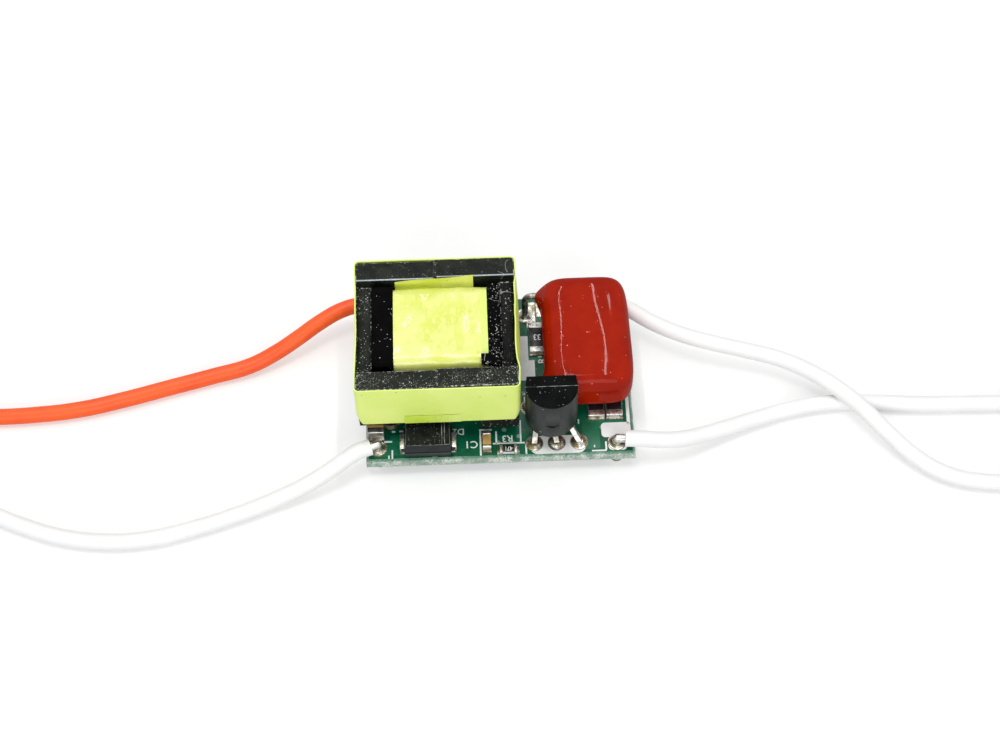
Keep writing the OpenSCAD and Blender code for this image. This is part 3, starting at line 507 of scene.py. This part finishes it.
# Tape on the coil and the core
# Yellow polyester film with a clear adhesive, wound tight by hand. It shows slight waves, and its turns
# end in small steps. The core's band turns in below the core's corners and leans over the yokes on top.
COIL_CORNER, COIL_FILM = 1.2, 0.07
COIL_WAVES = {"depth": 0.08, "scale": 1.2, "seed": 3.0}
FLAP_DROP, FLAP_RISE, FLAP_SLANT, FLAP_FILM, FLAP_WAVE = 1.45, 1.3, 0.72, 0.06, 0.05
FLAP_LEFT, FLAP_RIGHT, FLAP_SUNK = 0.15, 1.15, 0.03
TURN_CORNER, TURN_FILM = 1.27, 0.02
BAND_CORNER, BAND_FILM, BAND_WALL = 0.5, 0.12, 0.3
BAND_WAVES = {"depth": 0.03, "scale": 2.2, "seed": 11.0}
SLACK, SLACK_WAVE, SLACK_HALF = 0.14, 0.1, 6.2
LEAN_RIGHT, LEAN_LEFT, LEAN_WAVE, LEAN_HALF, YOKE_DROP = 0.3, 0.1, 0.3, 4.7, 1.1
TUCK, TUCK_HEIGHT, TUCK_WIDTH = 0.3, 1.5, 0.9
END_LEFT, END_RIGHT, END_LOW, END_HEIGHT = -8.1, -3.1, 0.02, 1.2
END_OUT, END_FILM, END_WAVE = 0.035, 0.03, 0.02
film_yellow = coated("film_yellow", fine=900.0, slow=230.0, slow_share=0.7, rough=(0.16, 0.34), bump=0.3,
                     dark=(0.74, 0.81, 0.12), light=(0.82, 0.86, 0.25), specular=0.5, coat=0.5,
                     coat_roughness=0.08, dust={"speck_scale": 3000.0, "share": 0.012}, speck=(0.3, 0.34, 0.03))
film_pale = coated("film_pale", fine=1500.0, slow=160.0, slow_share=0.6, rough=(0.3, 0.46), bump=0.05,
                   dark=(0.71, 0.87, 0.17), light=(0.79, 0.92, 0.24), specular=0.45,
                   dust={"speck_scale": 5000.0, "share": 0.003}, speck=(0.3, 0.33, 0.12))
film_double, tree, bsdf, place = finish("film_double", specular=0.4)
grain = placed_group(tree, grain_tree, fine_scale=1500.0, slow_scale=420.0, slow_share=0.6)
double = blend(tree, grain.outputs["Patches"], (0.62, 0.83, 0.085), (0.68, 0.87, 0.12))
fading = spread(tree, axes_of(tree, place)["X"], -6.6 * MM, -3.6 * MM)
faded = blend(tree, fading, double, (0.75, 0.90, 0.2))
textured(tree, bsdf, grain, faded, rough=(0.25, 0.4), bump=0.06)
repaint("barrier_tape", film_yellow)


def tape_sleeve(low, high, along, corner, cuts):
    bm = bmesh.new()
    size = high - low
    add_box(bm, (low + high) / 2, size)
    lengthwise = [e for e in bm.edges if abs((e.verts[0].co - e.verts[1].co)[along]) > 0.5 * size[along]]
    round_over(bm, lengthwise, corner, segments=6)
    bmesh.ops.delete(bm, geom=[f for f in bm.faces if abs(f.normal[along]) > 0.9], context="FACES")
    long_edges = [e for e in bm.edges if e.calc_length() > 1.2 * MM]
    bmesh.ops.subdivide_edges(bm, edges=long_edges, cuts=cuts, use_grid_fill=True)
    return bm


def ripple(bm, depth, scale, seed):
    bm.normal_update()
    for vert in bm.verts:
        lift = noise.noise(vert.co / (scale * MM) + Vector((seed, 0.0, 0.0)))
        vert.co += vert.normal * depth * MM * (lift - 0.2)


def thicken(bm, faces, film):
    bmesh.ops.solidify(bm, geom=faces, thickness=film * MM)
    bmesh.ops.recalc_face_normals(bm, faces=bm.faces)


coil_low, coil_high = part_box("winding_tape")
wound_low, wound_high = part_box("secondary_winding")
wrap = wound_low.z - coil_low.z
sleeve_low = Vector((wound_low.x, wound_low.y - wrap, wound_low.z - wrap))
sleeve_high = Vector((wound_high.x, wound_high.y + wrap, wound_high.z + wrap))
bm = tape_sleeve(sleeve_low, sleeve_high, along=0, corner=COIL_CORNER, cuts=24)
ripple(bm, **COIL_WAVES)
bmesh.ops.solidify(bm, geom=bm.faces[:], thickness=COIL_FILM * MM)
flap_low = sleeve_high.z - FLAP_DROP * MM
flap_x0, flap_x1 = wound_low.x + FLAP_LEFT * MM, wound_high.x - FLAP_RIGHT * MM
flap_root, flap_y = sleeve_high.y - FLAP_SUNK * MM, coil_high.y - wrap / 2
flap = bmesh.ops.create_grid(bm, x_segments=20, y_segments=14, size=0.5)["verts"]
for vert in flap:
    across, up = vert.co.x + 0.5, vert.co.y + 0.5
    crest = flap_low + (FLAP_RISE + FLAP_SLANT * across) * MM
    stand = min(1.0, up * 2.6)
    vert.co = Vector((flap_x0 + (flap_x1 - flap_x0) * across,
                      flap_root + (flap_y - flap_root) * stand ** 0.6,
                      flap_low + (crest - flap_low) * up))
    vert.co.y -= FLAP_WAVE * MM * math.sin(across * 7.0 + up * 3.0) * up
thicken(bm, list(dict.fromkeys(f for v in flap for f in v.link_faces)), FLAP_FILM)
show(bm, "coil_wrap", [film_yellow], ["winding_tape"], smooth_below=50.0)

for step, (x0, x1, skin, material) in enumerate((
        (wound_low.x + 0.12 * MM, wound_high.x - 0.62 * MM, 0.03 * MM, film_yellow),
        (wound_high.x - 0.8 * MM, wound_high.x - 0.01 * MM, 0.012 * MM, film_pale))):
    turn_low = Vector((x0, sleeve_low.y - skin, sleeve_low.z - skin))
    turn_high = Vector((x1, sleeve_high.y + skin, sleeve_high.z + skin))
    bm = tape_sleeve(turn_low, turn_high, along=0, corner=TURN_CORNER, cuts=18)
    ripple(bm, **COIL_WAVES)
    thicken(bm, bm.faces[:], TURN_FILM)
    show(bm, "coil_turn_%d" % step, [material], smooth_below=50.0)

band_low, band_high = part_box("core_tape")
left_low, left_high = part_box("core_half_left")
ring_front = left_low.y - (band_high.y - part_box("core_half_right")[1].y)
ring_low = Vector((band_low.x, ring_front, band_low.z))
middle = (ring_low + band_high) / 2
yoke_top = left_high.z - YOKE_DROP * MM
bm = tape_sleeve(ring_low, band_high, along=2, corner=BAND_CORNER, cuts=26)
ripple(bm, **BAND_WAVES)
for vert in bm.verts:
    slack = max(0.0, 1.0 - ((vert.co.y - middle.y) / (SLACK_HALF * MM)) ** 2)
    if vert.co.x > band_high.x - BAND_WALL * MM:
        vert.co.x += slack * (SLACK + SLACK_WAVE * noise.noise(vert.co / (3.0 * MM))) * MM
    free = max(0.0, (vert.co.z - yoke_top) / (band_high.z - yoke_top))
    open_span = max(0.0, 1.0 - ((vert.co.y - middle.y) / (LEAN_HALF * MM)) ** 6)
    lean = LEAN_RIGHT if vert.co.x > middle.x else LEAN_LEFT
    if abs(vert.co.x - middle.x) > band_high.x - middle.x - BAND_WALL * MM:
        sway = 1.0 + LEAN_WAVE * noise.noise(vert.co / (1.4 * MM))
        vert.co.x -= math.copysign(lean * sway * MM * free ** 1.2 * open_span, vert.co.x - middle.x)
    down = max(0.0, 1.0 - (vert.co.z - band_low.z) / (TUCK_HEIGHT * MM))
    side = max(0.0, 1.0 - (band_high.x - abs(vert.co.x - middle.x) - middle.x) / (TUCK_WIDTH * MM))
    vert.co.x -= math.copysign(TUCK * MM * down * down * side, vert.co.x - middle.x)
thicken(bm, bm.faces[:], BAND_FILM)
show(bm, "core_band", [film_pale], ["core_tape"], smooth_below=50.0)

end_x0, end_x1 = END_LEFT * MM, END_RIGHT * MM
bm = bmesh.new()
bmesh.ops.create_grid(bm, x_segments=30, y_segments=10, size=0.5)
for vert in bm.verts:
    across, up = vert.co.x + 0.5, vert.co.y + 0.5
    vert.co = Vector((end_x0 + (end_x1 - end_x0) * across, ring_front - END_OUT * MM,
                      band_low.z + (END_LOW + END_HEIGHT * up) * MM))
    vert.co.y -= END_WAVE * MM * noise.noise(vert.co / (0.9 * MM))
thicken(bm, bm.faces[:], END_FILM)
show(bm, "band_end", [film_double], smooth_below=50.0)

# Film capacitor
# Metallised film rolled flat and dipped in red epoxy, which leaves a thick glossy coat with soft waves
# and runs a little way down each lead. It was folded flat on the board.
DIP_X, DIP_Y, DIP_Z, CORNER_POWER, CROWN, DIP_WAVE = 3.925, 6.0, 2.22, 5.5, 0.18, 0.06
RIM, RIM_POWER, FLARE = 1.9, 3.3, 0.25
LEAD_PITCH, LEAD_BEND, RUN_DOWN, RUN_ACROSS, RUN_UP = 5.0, 0.9, 0.8, 1.15, 1.1
epoxy_red = coated("epoxy_red", fine=2400.0, slow=430.0, slow_share=0.86, rough=(0.2, 0.32), bump=0.16,
                   dark=(0.315, 0.0090, 0.0006), light=(0.375, 0.0130, 0.0010), specular=0.0, coat=0.2,
                   coat_roughness=0.045, dust={"speck_scale": 6000.0, "share": 0.02}, speck=(0.7, 0.3, 0.2))
dip_low, dip_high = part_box("film_capacitor")
dip_middle = Vector((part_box("film_capacitor_leads")[0].x + (LEAD_BEND + RUN_DOWN + DIP_X) * MM,
                     (dip_low.y + dip_high.y) / 2, (dip_low.z + dip_high.z) / 2))


def inside_dip(x, y, z):
    if abs(z) >= DIP_Z:
        return False
    inset = RIM * (1.0 - (1.0 - (abs(z) / DIP_Z) ** RIM_POWER) ** (1.0 / RIM_POWER))
    return (abs(x) / (DIP_X - inset)) ** CORNER_POWER + (abs(y) / (DIP_Y - inset)) ** CORNER_POWER <= 1.0


bm = bmesh.new()
bmesh.ops.create_cube(bm, size=2.0)
bmesh.ops.subdivide_edges(bm, edges=bm.edges[:], cuts=44, use_grid_fill=True)
for vert in bm.verts:
    x, y, z = vert.co.x * DIP_X, vert.co.y * DIP_Y, vert.co.z * DIP_Z
    short, far = 0.0, 1.0
    for _ in range(26):
        half = (short + far) / 2
        short, far = (half, far) if inside_dip(x * half, y * half, z * half) else (short, half)
    x, y, z = x * short, y * short, z * short
    crown = max(0.0, 1.0 - (x / DIP_X) ** 2 - (y / DIP_Y) ** 2)
    z += math.copysign(CROWN, z) * crown * (abs(z) / DIP_Z) ** 4
    if x < 0:
        run = sum(math.exp(-((y - lead) / RUN_ACROSS) ** 2) for lead in (-LEAD_PITCH, LEAD_PITCH))
        x -= RUN_DOWN * (run * math.exp(-(z / RUN_UP) ** 2)) * min(1.0, -2.0 * x / DIP_X)
    else:
        x *= 1.0 + FLARE / DIP_X * max(0.0, 0.3 - y / (2.0 * DIP_Y))
    wave = noise.noise(Vector((x * 0.5, y * 0.16, z * 0.5 + 4.0)))
    vert.co = dip_middle + Vector((x, y, z + DIP_WAVE * wave * (z / DIP_Z) ** 3)) * MM
bmesh.ops.recalc_face_normals(bm, faces=bm.faces)
show(bm, "dipped_body", [epoxy_red], ["film_capacitor"], smooth_below=80.0)

# Transistor
# Black epoxy moulded round the legs, with a flat back, a flash line where the mould closed
# and the round mark of its ejector pin. The sides are matt and the top is smooth.
CASE_EASE, PARTING, FLASH_WIDE, FLASH_THICK, FLASH_HIGH = 0.07, 1.08, 0.03, 0.05, 0.02
moulded_matt, tree, bsdf, place = finish("moulded_matt", specular=0.27)
grain = placed_group(tree, grain_tree, fine_scale=7000.0, slow_scale=800.0, slow_share=0.3)
dust = placed_group(tree, dust_tree, speck_scale=5000.0, share=0.025)
matt = blend(tree, grain.outputs["Patches"], (0.0050, 0.0075, 0.0082), (0.0095, 0.0128, 0.0138))
specked = blend(tree, dust.outputs["Specks"], matt, (0.4, 0.41, 0.4))
chipped_matt = chipped(tree, place, specked, (0.26, 0.28, 0.28))[0]
textured(tree, bsdf, grain, chipped_matt, rough=(0.34, 0.48), bump=0.03)
moulded_smooth = coated(
    "moulded_smooth", fine=7000.0, slow=900.0, slow_share=0.4, rough=(0.4, 0.58), bump=0.02, specular=0.03,
    dark=(0.0015, 0.0017, 0.0017), light=(0.0045, 0.005, 0.005),
    dust={"speck_scale": 8000.0, "share": 0.06, "lint_scale": 600.0, "lint_share": 0.05},
    speck=(0.3, 0.31, 0.3), lint=(0.3, 0.31, 0.3))
flash_grey = coated("flash_grey", fine=6000.0, slow=1400.0, slow_share=0.6, rough=(0.5, 0.7), bump=0.04,
                    dark=(0.02, 0.022, 0.022), light=(0.30, 0.31, 0.30), specular=0.3)

case_low, case_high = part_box("transistor_body")
bm = flat_faced_copy("transistor_body")
worn_edges(bm, CASE_EASE, segments=3)
for face in bm.faces:
    face.material_index = 1 if face.normal.z > 0.7 else 0
across = (case_high.x - case_low.x) / MM
flash = add_box(bm,
                ((case_low.x + case_high.x) / 2, case_high.y - PARTING * MM, (case_low.z + case_high.z) / 2),
                ((across + FLASH_WIDE) * MM, FLASH_THICK * MM, case_high.z - case_low.z + FLASH_HIGH * MM))
for face in {f for v in flash for f in v.link_faces}:
    face.material_index = 2
show(bm, "transistor_case", [moulded_matt, moulded_smooth, flash_grey], ["transistor_body"])

# Output diode and bridge rectifier
# Two moulded surface-mount packages with bent, tinned terminals, and a highlight painted along their
# upper edges. The diode has a line where its mould closed and a pair of pale lines at its cathode end,
# printed across the top.
BODY_EASE, STRAP_EASE = 0.06, 0.05
CATHODE_LINES, LINE_HALF, LINE_SHORT, LINE_INK, LINE_SUNK = (0.82, 0.58), 0.035, 0.16, 0.012, 0.002
MOULD_OUT, MOULD_THICK, MOULD_SHARE = 0.012, 0.1, 0.44
moulded_scuffed = coated(
    "moulded_scuffed", fine=7000.0, slow=900.0, slow_share=0.4, rough=(0.4, 0.58), bump=0.03, specular=0.08,
    dark=(0.005, 0.006, 0.0055), light=(0.013, 0.0155, 0.014),
    dust={"speck_scale": 9000.0, "share": 0.2, "lint_scale": 700.0, "lint_share": 0.12},
    speck=(0.24, 0.26, 0.25), lint=(0.26, 0.28, 0.26))
# Painted highlight: a pale colour for the packages' upper edges, standing in for a glint.
rim_painted_highlight = coated("rim_painted_highlight", fine=6000.0, slow=1400.0, slow_share=0.6, rough=(0.3, 0.45), bump=0.03,
                    dark=(0.28, 0.30, 0.30), light=(0.88, 0.90, 0.90), specular=0.5)
for node, name in (("diode_body", "diode_case"), ("bridge_body", "bridge_case")):
    bm = flat_faced_copy(node)
    worn_edges(bm, BODY_EASE, above=8.0)
    wear = bm.faces.layers.float["worn"]
    for face in bm.faces:
        face.material_index = 1 if face.normal.z > 0.9 else 0
        # Painted highlight: the eased faces along the upper edges take the pale rim colour.
        if face[wear] and face.normal.z > 0.5:
            face.material_index = 2
    show(bm, name, [moulded_matt, moulded_scuffed, rim_painted_highlight], [node])
bm = flat_faced_copy("diode_terminals")
ease_edges(bm, STRAP_EASE)
show(bm, "diode_straps", [tinned], ["diode_terminals"])
diode_low, diode_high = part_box("diode_body")
bm = bmesh.new()
for inset in CATHODE_LINES:
    x = diode_high.x / MM - inset
    lay_plate(bm, x - LINE_HALF, diode_low.y / MM + LINE_SHORT, x + LINE_HALF, diode_high.y / MM - LINE_SHORT,
              LINE_INK, diode_high.z - LINE_SUNK * MM)
show(bm, "cathode_lines", [flash_grey])
bm = bmesh.new()
lay_plate(bm, diode_low.x / MM - MOULD_OUT, diode_low.y / MM - MOULD_OUT,
          diode_high.x / MM + MOULD_OUT, diode_high.y / MM + MOULD_OUT, MOULD_THICK,
          diode_low.z + MOULD_SHARE * (diode_high.z - diode_low.z))
show(bm, "diode_mould_line", [moulded_smooth])

# Chip parts
# Ceramic blocks with dipped metal ends, soldered flat. The capacitors are bare tan ceramic,
# and the resistors are white ceramic with a black glaze on top and a printed value.
BLOCK_EASE, END_EASE, VALUE_INK, VALUE_SUNK, VALUE_NARROW = 0.035, 0.07, 0.012, 0.004, 0.8
fired = {"fine": 8000.0, "slow": 1500.0, "slow_share": 0.4}
ceramic_tan = coated("ceramic_tan", dark=(0.42, 0.25, 0.075), light=(0.54, 0.34, 0.12), rough=(0.45, 0.65),
                     bump=0.02, specular=0.35, **fired)
glaze_black = coated("glaze_black", dark=(0.006, 0.006, 0.007), light=(0.014, 0.014, 0.016), rough=(0.25, 0.4),
                     bump=0.01, specular=0.4, **fired)
ceramic_white = coated("ceramic_white", dark=(0.62, 0.62, 0.6), light=(0.75, 0.75, 0.73), rough=(0.5, 0.7),
                       bump=0.02, specular=0.3, **fired)
bare, glazed = [ceramic_tan, ceramic_tan], [ceramic_white, glaze_black]
for node, materials, slot in (("filter_capacitor", bare, "chip_ceramic"),
                              ("output_capacitor", bare, "chip_ceramic"),
                              ("sense_resistor", glazed, "chip_black"),
                              ("snubber_resistor", glazed, "chip_black"),
                              ("startup_resistors", glazed, "chip_black")):
    bm = flat_faced_copy(node)
    ease_edges(bm, BLOCK_EASE)
    for face in bm.faces:
        face.material_index = 1 if face.normal.z > 0.6 else 0
    show(bm, node + "_block", materials, [node])
for node in ("filter_capacitor_ends", "output_capacitor_ends", "sense_resistor_ends",
             "snubber_resistor_ends", "startup_resistor_ends"):
    bm = flat_faced_copy(node)
    ease_edges(bm, END_EASE, segments=3)
    show(bm, node + "_dipped", [tinned], [node])
bm = bmesh.new()
for node, words, turn, height in (("sense_resistor", "471", 180, 0.42), ("snubber_resistor", "33", 180, 0.62)):
    low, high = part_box(node)
    lay_words(bm, words, (low.x + high.x) / 2 / MM, (low.y + high.y) / 2 / MM, height, turn,
              high.z - VALUE_SUNK * MM, thick=VALUE_INK, narrow=VALUE_NARROW)
show(bm, "resistor_values", [legend_white])

# Leads
# Stranded copper in soft insulation: orange for the positive output and white for the rest. Each is
# stripped, turned down through the board and soldered, and lies along the table to a twisted, tinned end.
LEAD_D, STRANDS_R, TIP_L = 1.5, 0.4, 5.0
STRANDS, TWIST_STEPS, TWIST = 7, 25, 9.0
sheath_orange = coated("sheath_orange", fine=4000.0, slow=300.0, slow_share=0.6, rough=(0.36, 0.5), bump=0.03,
                       dark=(0.90, 0.088, 0.009), light=(0.95, 0.115, 0.014), specular=0.4)
sheath_white, tree, bsdf, place = finish("sheath_white", specular=0.4)
grain = placed_group(tree, grain_tree, fine_scale=4000.0, slow_scale=260.0, slow_share=0.6)
smudges = spread(tree, cloud(tree, place, 520.0, detail=3.0), 0.7, 0.76)
white = blend(tree, grain.outputs["Patches"], (0.90, 0.905, 0.90), (0.94, 0.94, 0.935))
smudged = blend(tree, smudges, white, (0.70, 0.69, 0.68))
textured(tree, bsdf, grain, smudged, rough=(0.4, 0.55), bump=0.03)

routes = {
    "output_positive": (
        (-11.3, 7.7, 3.2), (-12.5, 7.7, 3.2), (-14, 7.3, 3.1), (-16, 6.3, 2.7), (-18, 5.1, 2.1), (-20, 4, 1.5),
        (-22.5, 2.9, 1), (-26, 2, 0.8), (-30, 0.9, 0.8), (-34, -0.2, 0.8), (-38, -1.1, 0.8), (-42, -1.5, 0.8),
        (-46, -1.6, 0.8), (-50, -1.5, 0.8), (-54, -1.3, 0.8), (-58, -1.1, 0.8), (-62, -1, 0.8), (-66, -1, 0.8)),
    "output_negative": (
        (-11.3, -7.5, 3.2), (-12.4, -7.9, 3.2), (-13.5, -8.5, 2.9), (-15, -9.3, 2.3), (-17, -10.2, 1.6),
        (-19.5, -11.2, 1.1), (-23, -12.5, 0.8), (-27, -13.8, 0.8), (-31, -14.7, 0.8), (-35, -14.8, 0.8),
        (-39, -14.1, 0.8), (-42.5, -12.8, 0.8), (-46, -11.2, 0.8), (-50, -9.7, 0.8), (-54, -8.7, 0.8),
        (-58, -8.1, 0.8), (-62, -8, 0.8), (-66, -8, 0.8)),
    "input_line": (
        (11.4, 7.12, 3.2), (12.6, 6.32, 3.2), (14.8, 4.75, 3.1), (17.2, 3.5, 3), (20, 2.5, 2.9), (23, 1.7, 2.7),
        (26, 0.8, 2.5), (28.8, -0.7, 2.4), (31.1, -2.6, 2.4), (33, -4.6, 2.3), (35, -6.9, 1.8),
        (37.3, -9.2, 1.2), (40, -11, 0.9), (43, -11.8, 0.8), (47, -12, 0.8), (52, -11.8, 0.8),
        (57, -11.6, 0.8), (62, -11.5, 0.8), (66, -11.5, 0.8)),
    "input_neutral": (
        (11.4, -7.5, 3.2), (12.8, -7.6, 3.2), (14.5, -7.6, 2.9), (16.4, -7.3, 2.4), (18.4, -6.6, 1.8),
        (20.6, -5.7, 1.3), (23.5, -4.6, 0.9), (27, -3.6, 0.8), (31, -3.1, 0.8), (35, -3.3, 0.8),
        (39, -3.6, 0.8), (43, -3.7, 0.8), (47, -3.8, 0.8), (51, -4, 0.8), (55, -4.1, 0.8), (59, -4.2, 0.8),
        (63, -4.2, 0.8), (66, -4.2, 0.8)),
}
for name, route in routes.items():
    end = Vector(route[-1]) * MM
    out = math.copysign(1.0, end.x)
    bm = bmesh.new()
    ring = bmesh.ops.create_circle(bm, cap_ends=True, radius=STRANDS_R * MM, segments=42)["verts"]
    for vert in ring:
        angle = math.atan2(vert.co.y, vert.co.x)
        vert.co *= 0.9 + 0.1 * abs(math.cos(STRANDS / 2 * angle))
    bmesh.ops.rotate(bm, verts=ring, cent=(0, 0, 0), matrix=Matrix.Rotation(math.radians(90.0), 3, "Y"))
    bmesh.ops.translate(bm, verts=ring, vec=end)
    front = bm.faces[:]
    for step in range(TWIST_STEPS):
        made = bmesh.ops.extrude_face_region(bm, geom=front)["geom"]
        if step:
            bmesh.ops.delete(bm, geom=front, context="FACES_ONLY")
        front = [g for g in made if isinstance(g, bmesh.types.BMFace)]
        moved = [g for g in made if isinstance(g, bmesh.types.BMVert)]
        bmesh.ops.translate(bm, verts=moved, vec=(out * TIP_L * MM / TWIST_STEPS, 0, 0))
        bmesh.ops.rotate(bm, verts=moved, cent=end, matrix=Matrix.Rotation(math.radians(TWIST), 3, "X"))
    bmesh.ops.recalc_face_normals(bm, faces=bm.faces)
    tip = show(bm, name + "_strands", [tinned], [name + "_tip"], smooth_below=50.0)

    curve = bpy.data.curves.new(name + "_sheath", "CURVE")
    curve.dimensions = "3D"
    curve.bevel_depth = LEAD_D / 2 * MM
    curve.bevel_resolution = 6
    curve.resolution_u = 10
    curve.use_fill_caps = True
    spline = curve.splines.new("BEZIER")
    spline.bezier_points.add(len(route) - 1)
    for knot, point in zip(spline.bezier_points, route):
        knot.co = Vector(point) * MM
        knot.handle_left_type = knot.handle_right_type = "AUTO"
    curve.materials.append(sheath_orange if name == "output_positive" else sheath_white)
    sheath = bpy.data.objects.new(name + "_sheath", curve)
    bpy.context.scene.collection.objects.link(sheath)
    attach(sheath, "root")
    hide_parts(name + "_lead")

# Table, light and camera
# A white table top under a soft light from above, two long narrow lights over its sides and a broad one
# in front, seen from the front and well above, as a bench photograph is taken.
TABLE_HALF, TABLE_GLOW, ROOM_DIM, ROOM_SEEN = 1.5, 0.38, 0.42, 1.0


def seen_directly(tree):
    path = tree.nodes.new("ShaderNodeLightPath").outputs
    mirrored = math_node(tree, "MAXIMUM", path["Is Glossy Ray"], path["Is Transmission Ray"])
    return math_node(tree, "MAXIMUM", path["Is Camera Ray"], mirrored)


table_white = bpy.data.materials.new("table_white")
table_white.use_nodes = True
tree = table_white.node_tree
tree.nodes.clear()
matt = tree.nodes.new("ShaderNodeBsdfDiffuse")
matt.inputs["Color"].default_value = (0.66, 0.665, 0.66, 1.0)
glow = tree.nodes.new("ShaderNodeEmission")
glow.inputs["Color"].default_value = (1.0, 1.0, 1.0, 1.0)
tree.links.new(times(tree, seen_directly(tree), TABLE_GLOW), glow.inputs["Strength"])
both = tree.nodes.new("ShaderNodeAddShader")
tree.links.new(matt.outputs[0], both.inputs[0])
tree.links.new(glow.outputs[0], both.inputs[1])
tree.links.new(both.outputs[0], tree.nodes.new("ShaderNodeOutputMaterial").inputs["Surface"])
bm = bmesh.new()
bmesh.ops.create_grid(bm, x_segments=1, y_segments=1, size=TABLE_HALF)
mesh = bpy.data.meshes.new("table_top")
bm.to_mesh(mesh)
bm.free()
mesh.materials.append(table_white)
table = bpy.data.objects.new("table_top", mesh)
bpy.context.scene.collection.objects.link(table)

world = bpy.data.worlds.new("pale_room")
bpy.context.scene.world = world
world.use_nodes = True
tree = world.node_tree
room = tree.nodes["Background"]
room.inputs["Color"].default_value = (1.0, 1.0, 1.0, 1.0)
tree.links.new(spread(tree, seen_directly(tree), 0.0, 1.0, ROOM_DIM, ROOM_SEEN), room.inputs["Strength"])

for name, place, size, power in (("soft_overhead", (-0.05, -0.02, 0.5), (0.12, 0.12), 0.445),
                                 ("strip_left", (-0.085, 0.22, 0.47), (0.01, 0.6), 0.565),
                                 ("strip_right", (0.085, 0.22, 0.47), (0.01, 0.6), 0.565),
                                 ("soft_front", (0.0, -0.5, 0.3), (0.5, 0.3), 1.5)):
    lamp = bpy.data.lights.new(name, "AREA")
    lamp.shape = "RECTANGLE"
    lamp.size, lamp.size_y = size
    lamp.energy = power
    holder = bpy.data.objects.new(name, lamp)
    holder.location = place
    if name.startswith("strip"):
        holder.rotation_euler = (0.0, math.atan2(place[0], place[2]), 0.0)
    else:
        holder.rotation_euler = (-Vector(place)).to_track_quat("-Z", "Y").to_euler()
    bpy.context.scene.collection.objects.link(holder)

camera = bpy.data.cameras.new("bench_camera")
camera.sensor_width = 36.0
camera.lens = 74.4
camera.clip_start, camera.clip_end = 0.005, 20.0
right = Vector((0.99938, -0.03352, -0.01041))
up = Vector((0.03393, 0.84711, 0.53033))
ahead = Vector((0.00896, 0.53035, -0.84773))
eye = Vector((-1.208, -99.896, 162.216)) * MM
holder = bpy.data.objects.new("bench_camera", camera)
holder.matrix_world = Matrix.Translation(eye) @ Matrix((right, up, -ahead)).transposed().to_4x4()
bpy.context.scene.collection.objects.link(holder)
bpy.context.scene.camera = holder
bpy.context.scene.view_settings.view_transform = "Standard"
